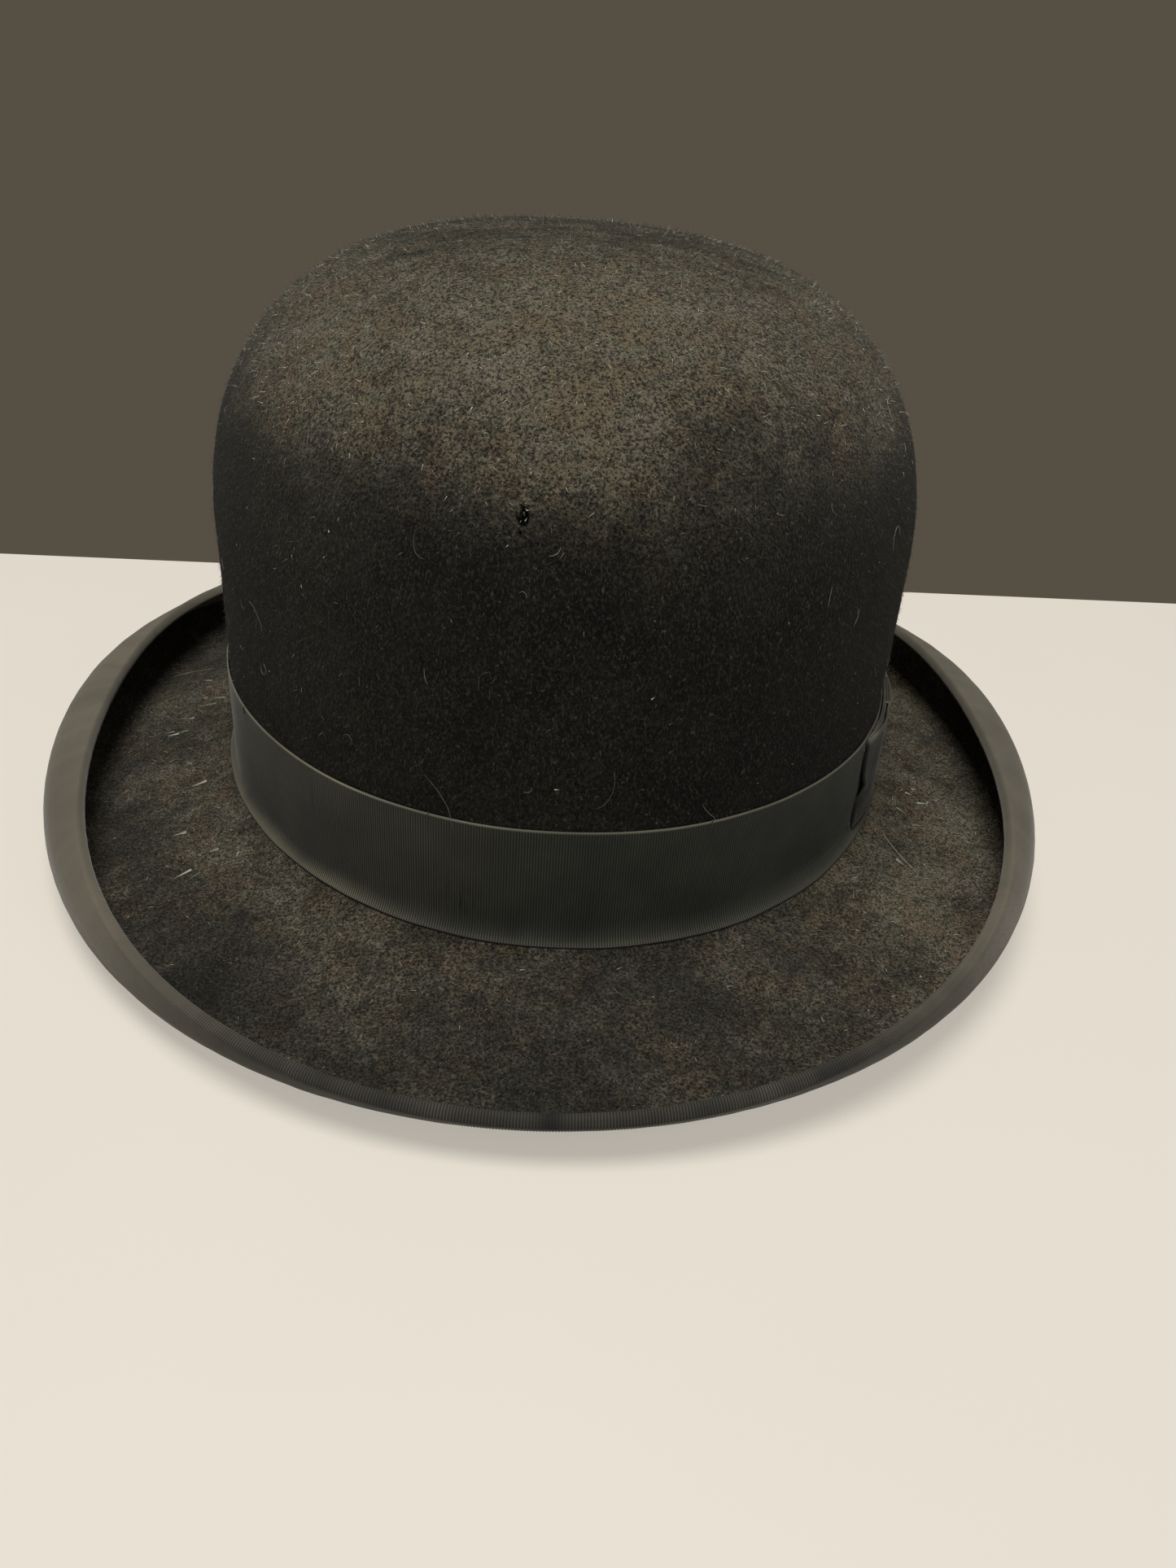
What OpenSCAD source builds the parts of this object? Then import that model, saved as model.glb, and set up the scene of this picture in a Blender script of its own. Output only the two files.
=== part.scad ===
// Bowler hat: one hard fur-felt body with a domed crown and a curled brim, bound and
// banded in grosgrain ribbon, with a leather sweatband and a satin lining inside.
// Frame: origin at the centre of the head opening, on the line where the crown breaks
// into the brim. +Z is up, -Y is the front and +X is the wearer's left.

/* [Crown] */
// Width of the crown across the head opening, outside the felt
crown_width = 173; // [162:1:184]
// Length of the crown from front to back, outside the felt
crown_length = 200; // [190:1:210]
// Height of the crown's tip above the break
crown_height = 131; // [118:1:140]
// Height at which the upright wall turns into the dome
shoulder_height = 63; // [52:1:70]
// How square the dome is towards its tip
tip_power = 2.43; // [2.1:0.01:2.8]
// How square the dome is towards its wall
wall_power = 2.65; // [2.2:0.01:3]
// Thickness of the felt
felt_thickness = 2; // [1.8:0.1:2.4]
// How much narrower the oval is at the front than at the back
egg_share = 0.03; // [0:0.005:0.05]

/* [Brim] */
// Reach of the lip from the break at the front and back
reach_ends = 48; // [44:0.5:52]
// Reach of the lip from the break at the sides
reach_sides = 30; // [28:0.5:33]
// Height of the lip above the break at the sides
lip_rise = 14; // [12:0.5:16]
// Depth of the lip below the break at the front and back
lip_dip = 1.7; // [0:0.1:4]
// How much lower and shorter the front is than the back, each way
brim_pitch = 1.6; // [0:0.1:2.5]
// How much further out and lower the wearer's right side is than the left, each way
brim_lean = 3.3; // [0:0.1:4]
// How much further the front left quarter reaches than the front right, each way
brim_skew = 1.5; // [0:0.1:2]
// Radius of the curl at the sides
curl_radius_sides = 9.4; // [8:0.1:11]
// Radius of the curl at the front and back
curl_radius_ends = 6.2; // [5:0.1:8]
// Direction of the lip at the sides, where 180 is curled right over
curl_angle_sides = 170; // [150:1:185]
// Direction of the lip at the front and back, above level
curl_angle_ends = 50; // [40:1:60]
// Radius in which the crown turns into the brim
break_radius = 7; // [5:0.5:9]

/* [Ribbons] */
// Height of the band ribbon
band_height = 28; // [24:1:36]
// Height of the band's lower edge above the break
band_foot = 1; // [0.5:0.5:2]
// Thickness of the grosgrain ribbon
ribbon = 0.35; // [0.3:0.05:0.5]
// Width of the brim binding on the upper face of the brim
binding_upper = 6; // [5:0.5:9]
// Width of the brim binding on the underside, which shows on the outside of the curl
binding_under = 20; // [14:0.5:22]
// Length of the side bow along the band
bow_length = 68; // [56:1:76]
// Place of the bow's middle, in degrees round from the front towards the wearer's left
bow_place = 76; // [72:1:95]
// Width of the bow's knot
knot_width = 17; // [13:1:20]

/* [Inside] */
// Height of the leather sweatband
sweat_height = 46; // [38:1:52]
// Thickness of the leather
leather = 1.1; // [0.9:0.1:1.3]
// Radius of the reed in the sweatband's lower edge
reed_radius = 1; // [0.8:0.1:1.2]
// Thickness of the satin lining
satin = 0.4; // [0.3:0.1:0.5]
// Dome angle at which the lining's side meets its tip
lining_seam = 42; // [34:1:50]

/* [Hidden] */

half_w = crown_width / 2;
half_l = crown_length / 2;
half_t = felt_thickness / 2;
around = 64;            // stations round the oval
gap = 0.1;              // air between pieces that lie on each other
thread = 0.22;          // radius of a sewing thread
lip_straight = 4;       // flat stretch behind the lip
band_top = band_foot + band_height;
stations = [for (i = [0 : around - 1]) i * 360 / around];

// ---------------------------------------------------------------- oval and sections

// Outward direction of the oval at angle p, which runs from the front to the left
function out(p) =
    let (v = [half_l * sin(p), -half_w * cos(p)])
    v / norm(v);

// Point of the oval at angle p, a distance u outside the crown's wall
function oval(p, u, egg = egg_share) =
    [half_w * sin(p) * (1 - egg * cos(p)), -half_l * cos(p)] + u * out(p);

// Lifts a section point [u, z] onto the oval at angle p
function place(p, uz) =
    let (q = oval(p, uz[0], egg_share * max(0, 1 - max(0, uz[0]) / reach_sides)))
    [q[0], q[1], uz[1]];

// Left-hand side of the direction d, in the plane of a section
function left(d) = [-sin(d), cos(d)];

// Share of "side" at angle p: 0 at the front and back, 1 at the sides
function sideways(p) = pow(abs(sin(p)), 2);

// The lip in the section at angle p
function lip(p) =
    let (c = cos(p), s = sin(p))
    [
        reach_ends + (reach_sides - reach_ends) * pow(s, 4)
            - brim_pitch * c - brim_lean * s + brim_skew * sin(2 * p),
        lip_rise - (lip_rise + lip_dip) * c * c - brim_pitch * c + brim_lean * s
    ];

function curl_angle(p) = curl_angle_ends + (curl_angle_sides - curl_angle_ends) * sideways(p);
function curl_radius(p) = curl_radius_ends + (curl_radius_sides - curl_radius_ends) * sideways(p);

// Centre of the curl in the section at angle p
function curl_centre(p) =
    let (k = curl_angle(p))
    lip(p) - lip_straight * [cos(k), sin(k)] + curl_radius(p) * left(k);

// Corner where the middle of the wall and the middle of the blade meet
break_corner = [-half_t, 0];

// Slope of the flat blade, which runs from the break to the underside of the curl
function blade_slope(p) =
    let (v = curl_centre(p) - break_corner)
    atan2(v[1], v[0]) - asin(curl_radius(p) / norm(v));

// Centre of the arc that joins wall and blade
function fillet_centre(p) =
    break_corner + [break_radius, break_radius * tan((90 + blade_slope(p)) / 2)];

// Point on an arc whose centre is c, where the path runs in the direction d
function on_arc(c, r, d) = c - r * left(d);

// The middle of the felt from the wall to the lip, as [point, direction]
function brim_path(p) =
    let (
        slope = blade_slope(p),
        f = fillet_centre(p),
        c = curl_centre(p),
        r = curl_radius(p),
        k = curl_angle(p),
        a = on_arc(f, break_radius, slope),
        b = on_arc(c, r, slope)
    )
    concat(
        [for (i = [0 : 4]) let (d = -90 + (90 + slope) * i / 4) [on_arc(f, break_radius, d), d]],
        [for (i = [1 : 3]) [a + (b - a) * i / 4, slope]],
        [for (i = [0 : 9]) let (d = slope + (k - slope) * i / 9) [on_arc(c, r, d), d]],
        [[lip(p), k]]
    );

// The path at a distance s back from the lip, as [point, direction]
function from_lip(p, s) =
    let (
        k = curl_angle(p),
        r = curl_radius(p),
        slope = blade_slope(p),
        turned = (s - lip_straight) / r * 180 / PI,
        rest = (turned - (k - slope)) * r * PI / 180,
        d = max(k - max(0, turned), slope)
    )
    s < lip_straight ? [lip(p) - s * [cos(k), sin(k)], k]
    : [on_arc(curl_centre(p), r, d) - max(0, rest) * [cos(d), sin(d)], d];

// A point of the path pushed to its left by the distance u
function beside(q, u) = q[0] + u * left(q[1]);

// Outside face of the wall at height z, as a distance from the upright wall
function wall_face(p, z) =
    let (f = fillet_centre(p), r = break_radius - half_t)
    z >= f[1] ? 0 : f[0] - sqrt(r * r - pow(f[1] - z, 2));

// Point of the dome at angle p and dome angle d, where 90 is the tip, under an inset
function dome(p, d, inset) =
    let (r = pow(cos(d), 2 / wall_power), h = pow(sin(d), 2 / tip_power))
    [
        (half_w - inset) * r * sin(p) * (1 - egg_share * cos(p)),
        -(half_l - inset) * r * cos(p),
        shoulder_height + (crown_height - shoulder_height - inset) * h
    ];

// ---------------------------------------------------------------- lofts

// Side faces of a loft through n sections of m points each
function skin(n, m, closed_round, closed_section) =
    [
        for (i = [0 : n - (closed_round ? 1 : 2)], j = [0 : m - (closed_section ? 1 : 2)], k = [0, 1])
            let (
                a = i * m + j,
                b = i * m + (j + 1) % m,
                c = ((i + 1) % n) * m + (j + 1) % m,
                d = ((i + 1) % n) * m + j
            )
            k == 0 ? [a, b, c] : [a, c, d]
    ];

// Ring whose section at each station is a closed outline
module ring_loft(sections) {
    m = len(sections[0]);
    polyhedron([for (s = sections, q = s) q], skin(len(sections), m, true, true), convexity = 8);
}

// Shell whose section at each station runs from one point on the axis to another
module pole_loft(sections, top, bottom) {
    n = len(sections);
    m = len(sections[0]);
    polyhedron(
        concat([for (s = sections, q = s) q], [top, bottom]),
        concat(
            skin(n, m, true, false),
            [for (i = [0 : n - 1]) [n * m, i * m, ((i + 1) % n) * m]],
            [for (i = [0 : n - 1]) [n * m + 1, ((i + 1) % n) * m + m - 1, i * m + m - 1]]
        ),
        convexity = 8
    );
}

// Upright strip round part of the oval, from angle p0 to p1, between two offsets
module oval_strip(p0, p1, u0, u1, foot, height, steps = 10) {
    fan = [for (i = [0 : steps]) p0 + (p1 - p0) * i / steps];
    translate([0, 0, foot])
        linear_extrude(height)
            polygon(concat(
                [for (p = fan) oval(p, u0)],
                [for (i = [steps : -1 : 0]) oval(fan[i], u1)]
            ));
}

// Straight stitch of length l, centred on a point and turned to a direction
module stitch(at, turn, l) {
    translate(at)
        rotate(turn)
            cylinder(h = l, r = thread, center = true, $fn = 16);
}

// Degrees round the oval that a length along the band covers
function degrees_of(l) = l / half_l * 180 / PI;

// Compass turn of the oval's outward direction at angle p
function facing(p) = atan2(out(p)[1], out(p)[0]);

// ---------------------------------------------------------------- felt

dome_steps = [for (i = [1 : 16]) 90 - i * 90 / 16];

// Crown and curled brim, blocked from one piece of felt
module felt_body() {
    sections = [
        for (p = stations)
            let (path = brim_path(p), last = len(path) - 1)
            concat(
                [for (d = dome_steps) dome(p, d, 0)],
                [place(p, [0, shoulder_height / 2])],
                [for (q = path) place(p, beside(q, half_t))],
                [for (i = [last : -1 : 0]) place(p, beside(path[i], -half_t))],
                [place(p, [-felt_thickness, shoulder_height / 2])],
                [for (i = [15 : -1 : 0]) dome(p, dome_steps[i], felt_thickness)]
            )
    ];
    color([0.1, 0.1, 0.105])
        pole_loft(sections, dome(0, 90, 0), dome(0, 90, felt_thickness));
}

// ---------------------------------------------------------------- brim binding

binding_clear = half_t + gap;
binding_outer = binding_clear + ribbon;
upper_steps = [for (i = [0 : 5]) binding_upper * i / 5];
under_steps = [for (i = [0 : 7]) binding_under * i / 7];

// Ribbon folded over the lip, all the way round
module brim_binding() {
    sections = [
        for (p = stations)
            let (
                tip = from_lip(p, 0),
                ahead = [cos(tip[1]), sin(tip[1])]
            )
            [
                for (q = concat(
                    [for (i = [5 : -1 : 0]) beside(from_lip(p, upper_steps[i]), binding_outer)],
                    [tip[0] + (gap + ribbon) * ahead + half_t * left(tip[1])],
                    [tip[0] + (gap + ribbon) * ahead - half_t * left(tip[1])],
                    [for (s = under_steps) beside(from_lip(p, s), -binding_outer)],
                    [for (i = [7 : -1 : 0]) beside(from_lip(p, under_steps[i]), -binding_clear)],
                    [tip[0] + gap * ahead],
                    [for (s = upper_steps) beside(from_lip(p, s), binding_clear)]
                )) place(p, q)
            ]
    ];
    color([0.3, 0.29, 0.27])
        ring_loft(sections);
}

// Short hand stitches that hold the binding's edge down on the upper face
module binding_stitches() {
    count = 96;
    color([0.08, 0.08, 0.09])
        for (i = [0 : count - 1]) {
            p = (i + 0.5) * 360 / count;
            q = beside(from_lip(p, binding_upper - 1.2), binding_outer + thread + gap);
            stitch(place(p, q), [90, 0, facing(p)], 2.4);
        }
}

// ---------------------------------------------------------------- band and bow

// Wide ribbon round the foot of the crown, flared where the wall turns out
module hat_band() {
    rows = [band_foot, band_foot + 1.6, band_foot + 3.6, band_foot + 14, band_top];
    last = len(rows) - 1;
    sections = [
        for (p = stations)
            concat(
                [for (i = [last : -1 : 0]) place(p, [wall_face(p, rows[i]) + gap + ribbon, rows[i]])],
                [for (z = rows) place(p, [wall_face(p, z) + gap, z])]
            )
    ];
    color([0.16, 0.17, 0.165])
        ring_loft(sections);
}

// Tack stitches over the band's upper edge
module band_tacks() {
    color([0.08, 0.08, 0.09])
        for (p = [20 : 40 : 340])
            stitch(place(p, [gap + ribbon + gap + thread, band_top - 1.6]), [0, 0, 0], 2.4);
}

bow_foot = band_foot + 3;
bow_height = band_height - 3.4;
bow_inner = ribbon + 0.6;
bow_half = degrees_of(bow_length / 2);
knot_half = degrees_of(knot_width / 2);
loop_fold = 0.6;        // open space inside a loop

// Flat strip that lies on the band and carries the loops
module bow_backing() {
    color([0.15, 0.16, 0.155])
        oval_strip(bow_place - bow_half * 0.86, bow_place + bow_half * 0.86,
                   bow_inner, bow_inner + ribbon, bow_foot, bow_height);
}

// One loop: ribbon that runs out from the knot, folds over and comes back
module bow_loop(p_knot, p_end) {
    u0 = bow_inner + ribbon + gap;
    u1 = u0 + loop_fold + 2 * ribbon;
    turn = sign(p_end - p_knot) * degrees_of(ribbon);
    difference() {
        oval_strip(p_knot, p_end, u0, u1, bow_foot, bow_height);
        oval_strip(p_knot - turn, p_end - turn, u0 + ribbon, u1 - ribbon, bow_foot - 1, bow_height + 2);
    }
}

module bow_front_loop() {
    color([0.17, 0.18, 0.175])
        bow_loop(bow_place - 0.4, bow_place - bow_half);
}

module bow_rear_loop() {
    color([0.17, 0.18, 0.175])
        bow_loop(bow_place + 0.4, bow_place + bow_half);
}

// Ribbon wrapped round the middle of the bow, over both loops
module bow_knot() {
    u0 = bow_inner + ribbon + gap + loop_fold + 2 * ribbon + gap;
    color([0.14, 0.15, 0.145]) {
        oval_strip(bow_place - knot_half, bow_place + knot_half, u0, u0 + ribbon,
                   bow_foot - gap - ribbon, bow_height + 2 * (gap + ribbon));
        for (z = [bow_foot - gap - ribbon, bow_foot + bow_height + gap])
            oval_strip(bow_place - knot_half, bow_place + knot_half,
                       bow_inner, u0 + ribbon, z, ribbon);
    }
}

// Stitches that tack the ends of the bow to the band
module bow_tacks() {
    color([0.08, 0.08, 0.09])
        for (side = [-1, 1], z = [bow_foot + 2, bow_foot + bow_height - 2]) {
            p = bow_place + side * (bow_half + degrees_of(1.6));
            stitch(place(p, [gap + ribbon + gap + thread, z]), [90, 0, facing(p)], 1.8);
        }
}

// ---------------------------------------------------------------- sweatband

inner_wall = -felt_thickness;
lining_out = inner_wall - gap;
sweat_out = lining_out - satin - gap;
sweat_foot = 1.7;

// Leather strip that stands inside the head opening and leans in towards its top edge
module sweatband() {
    rows = [sweat_foot, sweat_foot + 4, sweat_height / 2, sweat_height];
    last = len(rows) - 1;
    function lean(z) = 1.4 * pow(z / sweat_height, 2);
    sections = [
        for (p = stations)
            concat(
                [for (i = [last : -1 : 0]) place(p, [sweat_out - lean(rows[i]), rows[i]])],
                [for (z = rows) place(p, [sweat_out - leather - lean(z), z])]
            )
    ];
    color([0.42, 0.25, 0.14])
        ring_loft(sections);
}

reed_centre = [sweat_out - leather / 2, sweat_foot - reed_radius - 0.6];

// Springy cord that keeps the sweatband's lower edge round
module sweatband_reed() {
    sections = [
        for (p = stations)
            [for (k = [0 : 7]) place(p, reed_centre + reed_radius * [cos(k * 45), sin(k * 45)])]
    ];
    color([0.75, 0.7, 0.55])
        ring_loft(sections);
}

// Tape wrapped under the reed, with a flange that is sewn between leather and felt
module reed_tape() {
    tape = 0.35;
    r = reed_radius + gap;
    wrap = [for (k = [0 : 6]) 20 - k * 35];
    flange = lining_out - 0.02;
    top = sweat_foot + 6;
    sections = [
        for (p = stations)
            [
                for (q = concat(
                    [[flange, top]],
                    [[flange, reed_centre[1] + r * 0.8]],
                    [for (a = wrap) reed_centre + (r + tape) * [cos(a), sin(a)]],
                    [for (i = [6 : -1 : 0]) reed_centre + r * [cos(wrap[i]), sin(wrap[i])]],
                    [[flange - tape, reed_centre[1] + r * 1.2]],
                    [[flange - tape, top]]
                )) place(p, q)
            ]
    ];
    color([0.2, 0.19, 0.17])
        ring_loft(sections);
}

// Machine stitches round the foot of the sweatband
module sweatband_stitches() {
    count = 96;
    face = sweat_out - leather - gap - thread;
    color([0.5, 0.36, 0.22])
        for (i = [0 : count - 1]) {
            p = i * 360 / count;
            stitch(place(p, [face, sweat_foot + 2]), [90, 0, facing(p)], 3);
        }
}

// Crossed stitches that join the ends of the sweatband at the back
module sweatband_seam_stitches() {
    face = sweat_out - leather - gap - thread - 1.6;
    color([0.5, 0.36, 0.22])
        for (z = [8 : 4 : 28])
            stitch(place(180, [face, z]), [0, 45, 0], 4.6);
}

// Small ribbon bow over the top of the sweatband's seam
module sweatband_bow() {
    wing = 9;
    pinch = 1.3;
    open = 3.4;
    face = place(180, [sweat_out - leather - 2.2, sweat_height - 6]);
    color([0.12, 0.1, 0.1])
        translate(face)
            rotate([90, 0, 0])
                linear_extrude(1.4)
                    polygon([
                        [-wing, -open], [-pinch, -pinch], [pinch, -pinch], [wing, -open],
                        [wing, open], [pinch, pinch], [-pinch, pinch], [-wing, open]
                    ]);
}

// ---------------------------------------------------------------- lining

lining_foot = sweat_foot + 8;
lining_inset = felt_thickness + gap;
side_steps = [for (i = [0 : 5]) lining_seam * i / 5];
tip_rise = 1.2;

// Satin wall of the lining, from behind the sweatband up to the dome
module lining_side() {
    last = len(side_steps) - 1;
    sections = [
        for (p = stations)
            concat(
                [for (i = [last : -1 : 0]) dome(p, side_steps[i], lining_inset)],
                [place(p, [lining_out, lining_foot])],
                [place(p, [lining_out - satin, lining_foot])],
                [for (d = side_steps) dome(p, d, lining_inset + satin)]
            )
    ];
    color([0.33, 0.1, 0.12])
        ring_loft(sections);
}

// Oval satin tip of the lining
module lining_tip() {
    steps = [for (i = [1 : 7]) 90 - i * (90 - lining_seam - tip_rise) / 7];
    inset = lining_inset + 0.3;
    sections = [
        for (p = stations)
            concat(
                [for (d = steps) dome(p, d, inset)],
                [for (i = [6 : -1 : 0]) dome(p, steps[i], inset + satin)]
            )
    ];
    color([0.33, 0.1, 0.12])
        pole_loft(sections, dome(0, 90, inset), dome(0, 90, inset + satin));
}

// Piping cord that covers the seam between the lining's side and tip
module lining_piping() {
    cord = 0.9;
    sections = [
        for (p = stations)
            let (c = dome(p, lining_seam, lining_inset + satin + gap + cord + 0.2))
            [
                for (k = [0 : 7])
                    let (u = cord * cos(k * 45))
                    c + [u * out(p)[0], u * out(p)[1], cord * sin(k * 45)]
            ]
    ];
    color([0.28, 0.08, 0.1])
        ring_loft(sections);
}

// ---------------------------------------------------------------- drawing

felt_body();
brim_binding();
binding_stitches();
hat_band();
band_tacks();
bow_backing();
bow_front_loop();
bow_rear_loop();
bow_knot();
bow_tacks();
sweatband();
sweatband_reed();
reed_tape();
sweatband_stitches();
sweatband_seam_stitches();
sweatband_bow();
lining_side();
lining_tip();
lining_piping();
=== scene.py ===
"""Looks of the bowler hat: fur felt, grosgrain ribbons, leather sweatband and satin lining.

The hat's sizes come from the CAD frame. Lengths in this file are in millimetres and angles
in degrees until a mesh is made, and p is the angle round the hat: 0 at the front, 90 at the
wearer's left, 180 at the back. A section point is (u, z), where u is the distance outside
the crown's wall.
"""
import math

import bpy
import numpy as np
from mathutils import Matrix, Vector

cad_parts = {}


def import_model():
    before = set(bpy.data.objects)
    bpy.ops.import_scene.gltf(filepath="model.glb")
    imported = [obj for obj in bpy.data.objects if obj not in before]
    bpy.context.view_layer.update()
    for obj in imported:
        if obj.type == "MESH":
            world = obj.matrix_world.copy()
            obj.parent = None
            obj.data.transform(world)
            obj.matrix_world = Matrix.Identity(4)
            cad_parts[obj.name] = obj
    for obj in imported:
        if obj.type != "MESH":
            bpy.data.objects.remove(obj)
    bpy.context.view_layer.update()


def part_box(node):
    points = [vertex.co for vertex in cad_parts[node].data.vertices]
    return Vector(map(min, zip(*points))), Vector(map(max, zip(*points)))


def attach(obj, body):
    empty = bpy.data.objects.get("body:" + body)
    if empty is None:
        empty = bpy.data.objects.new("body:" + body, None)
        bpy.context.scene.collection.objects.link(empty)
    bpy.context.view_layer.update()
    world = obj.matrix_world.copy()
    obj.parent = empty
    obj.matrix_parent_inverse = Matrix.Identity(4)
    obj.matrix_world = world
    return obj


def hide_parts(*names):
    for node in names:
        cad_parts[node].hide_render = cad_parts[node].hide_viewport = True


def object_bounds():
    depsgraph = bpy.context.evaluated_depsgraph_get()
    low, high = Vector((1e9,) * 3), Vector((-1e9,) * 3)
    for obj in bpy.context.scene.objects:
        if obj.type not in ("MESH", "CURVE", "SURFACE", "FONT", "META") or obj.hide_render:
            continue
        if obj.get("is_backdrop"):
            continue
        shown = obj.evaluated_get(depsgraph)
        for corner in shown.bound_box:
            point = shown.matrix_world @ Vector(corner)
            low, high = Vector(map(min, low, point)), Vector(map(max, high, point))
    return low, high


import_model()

MM = 0.001
rng = np.random.default_rng(1887)


def box_mm(node):
    """Lowest and highest corner of a CAD node, in millimetres."""
    low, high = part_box(node)
    return np.array(low) / MM, np.array(high) / MM


# -------- sizes from the frame

FELT = 2.0                   # thickness of the felt
GAP = 0.1                    # air between pieces that lie on each other
RIBBON = 0.35                # thickness of the grosgrain
BREAK_RADIUS = 7.0           # turn from wall to brim
CURL_RADIUS = (6.2, 9.4)     # ends, sides
CURL_ANGLE = (50.0, 170.0)   # ends, sides
LIP_STRAIGHT = 4.0
REACH_SIDES = 30.0
LIP_RISE, LIP_DIP = 14.0, 1.7
PITCH, LEAN, SKEW = 1.6, 3.3, 1.5
EGG = 0.03
SHOULDER = 63.0
TIP_POWER, WALL_POWER = 2.43, 2.65

lining_low, lining_high = box_mm("lining_side")
HALF_W = lining_high[0] + FELT + GAP
HALF_L = -lining_low[1] + FELT + GAP
CROWN_H = box_mm("felt_body")[1][2]
BAND_FOOT, BAND_TOP = (corner[2] for corner in box_mm("hat_band"))
REACH_ENDS = box_mm("brim_binding")[1][1] - HALF_L - PITCH - 1.1
BINDING_UPPER, BINDING_UNDER = 6.0, 20.0
SWEAT_FOOT, SWEAT_TOP = (corner[2] for corner in box_mm("sweatband"))
LEATHER = 1.1
SATIN = 0.4
LINING_SEAM = 42.0
BOW_PLACE, BOW_LENGTH, KNOT_WIDTH = 76.0, 68.0, 17.0
BOW_INNER = RIBBON + 0.6      # bow's distance from the wall
LOOP_FOLD = 0.6
RIB = 0.58                   # pitch of the ribs in the grosgrain
RIM_STITCHES = 96            # stitches round the binding, and as many round the sweatband


# -------- noise

class Lattice:
    """Smooth random values in space, the same on every run."""

    def __init__(self, seed):
        self.table = np.random.default_rng(seed).uniform(-1, 1, 4096)

    def __call__(self, points, cell):
        q = np.asarray(points, float) / cell + 1000.0
        i = np.floor(q).astype(np.int64)
        f = q - i
        f = f * f * (3 - 2 * f)
        total = 0
        for corner in range(8):
            step = np.array([corner & 1, corner >> 1 & 1, corner >> 2 & 1])
            j = i + step
            key = (j[..., 0] * 73856093) ^ (j[..., 1] * 19349663) ^ (j[..., 2] * 83492791)
            weight = np.prod(np.where(step, f, 1 - f), axis=-1)
            total = total + weight * self.table[key & 4095]
        return total

    def layers(self, points, cell, count):
        """Sum of finer and finer noise, about -1 to 1."""
        return sum(self(points, cell / 2 ** k) / 2 ** k for k in range(count)) / 1.5


lumps = Lattice(3)
stains = Lattice(11)


def smooth(x, low, high):
    """0 below low, 1 above high, with a soft step between."""
    t = np.clip((x - low) / (high - low), 0, 1)
    return t * t * (3 - 2 * t)


def bell(x, centre, width):
    return np.exp(-((x - centre) / width) ** 2)


def unit(v):
    """Vectors scaled to length 1."""
    return v / np.maximum(np.linalg.norm(v, axis=-1, keepdims=True), 1e-9)


def distance_along(points):
    """Distance from the first point to each point of a path."""
    return np.concatenate([[0], np.cumsum(np.linalg.norm(np.diff(points, axis=0), axis=1))])


# -------- the hat's surfaces

def sin(a):
    return np.sin(np.radians(a))


def cos(a):
    return np.cos(np.radians(a))


def out(p):
    """Outward direction of the oval."""
    return unit(np.stack([HALF_L * sin(p), -HALF_W * cos(p)], -1))


def level_ways(p):
    """Outward and onward directions in space at angle p, both level."""
    x, y = np.moveaxis(out(p), -1, 0)
    return np.stack([x, y, 0 * x], -1), np.stack([-y, x, 0 * x], -1)


def place(p, u, z):
    """Point at angle p, a distance u outside the wall, at height z."""
    egg = EGG * (1 - np.clip(u / REACH_SIDES, 0, 1))
    x = HALF_W * sin(p) * (1 - egg * cos(p))
    y = -HALF_L * cos(p)
    n = out(p)
    return np.stack([x + u * n[..., 0], y + u * n[..., 1], z + 0 * x], -1)


def ends_to_sides(p, pair):
    return pair[0] + (pair[1] - pair[0]) * sin(p) ** 2


def lip(p):
    c, s = cos(p), sin(p)
    u = (REACH_ENDS + (REACH_SIDES - REACH_ENDS) * s ** 4
         - PITCH * c - LEAN * s + SKEW * sin(2 * p))
    z = LIP_RISE - (LIP_RISE + LIP_DIP) * c * c - PITCH * c + LEAN * s
    return np.stack([u, z], -1)


def along(d):
    return np.stack([cos(d), sin(d)], -1)


def left(d):
    return np.stack([-sin(d), cos(d)], -1)


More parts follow.
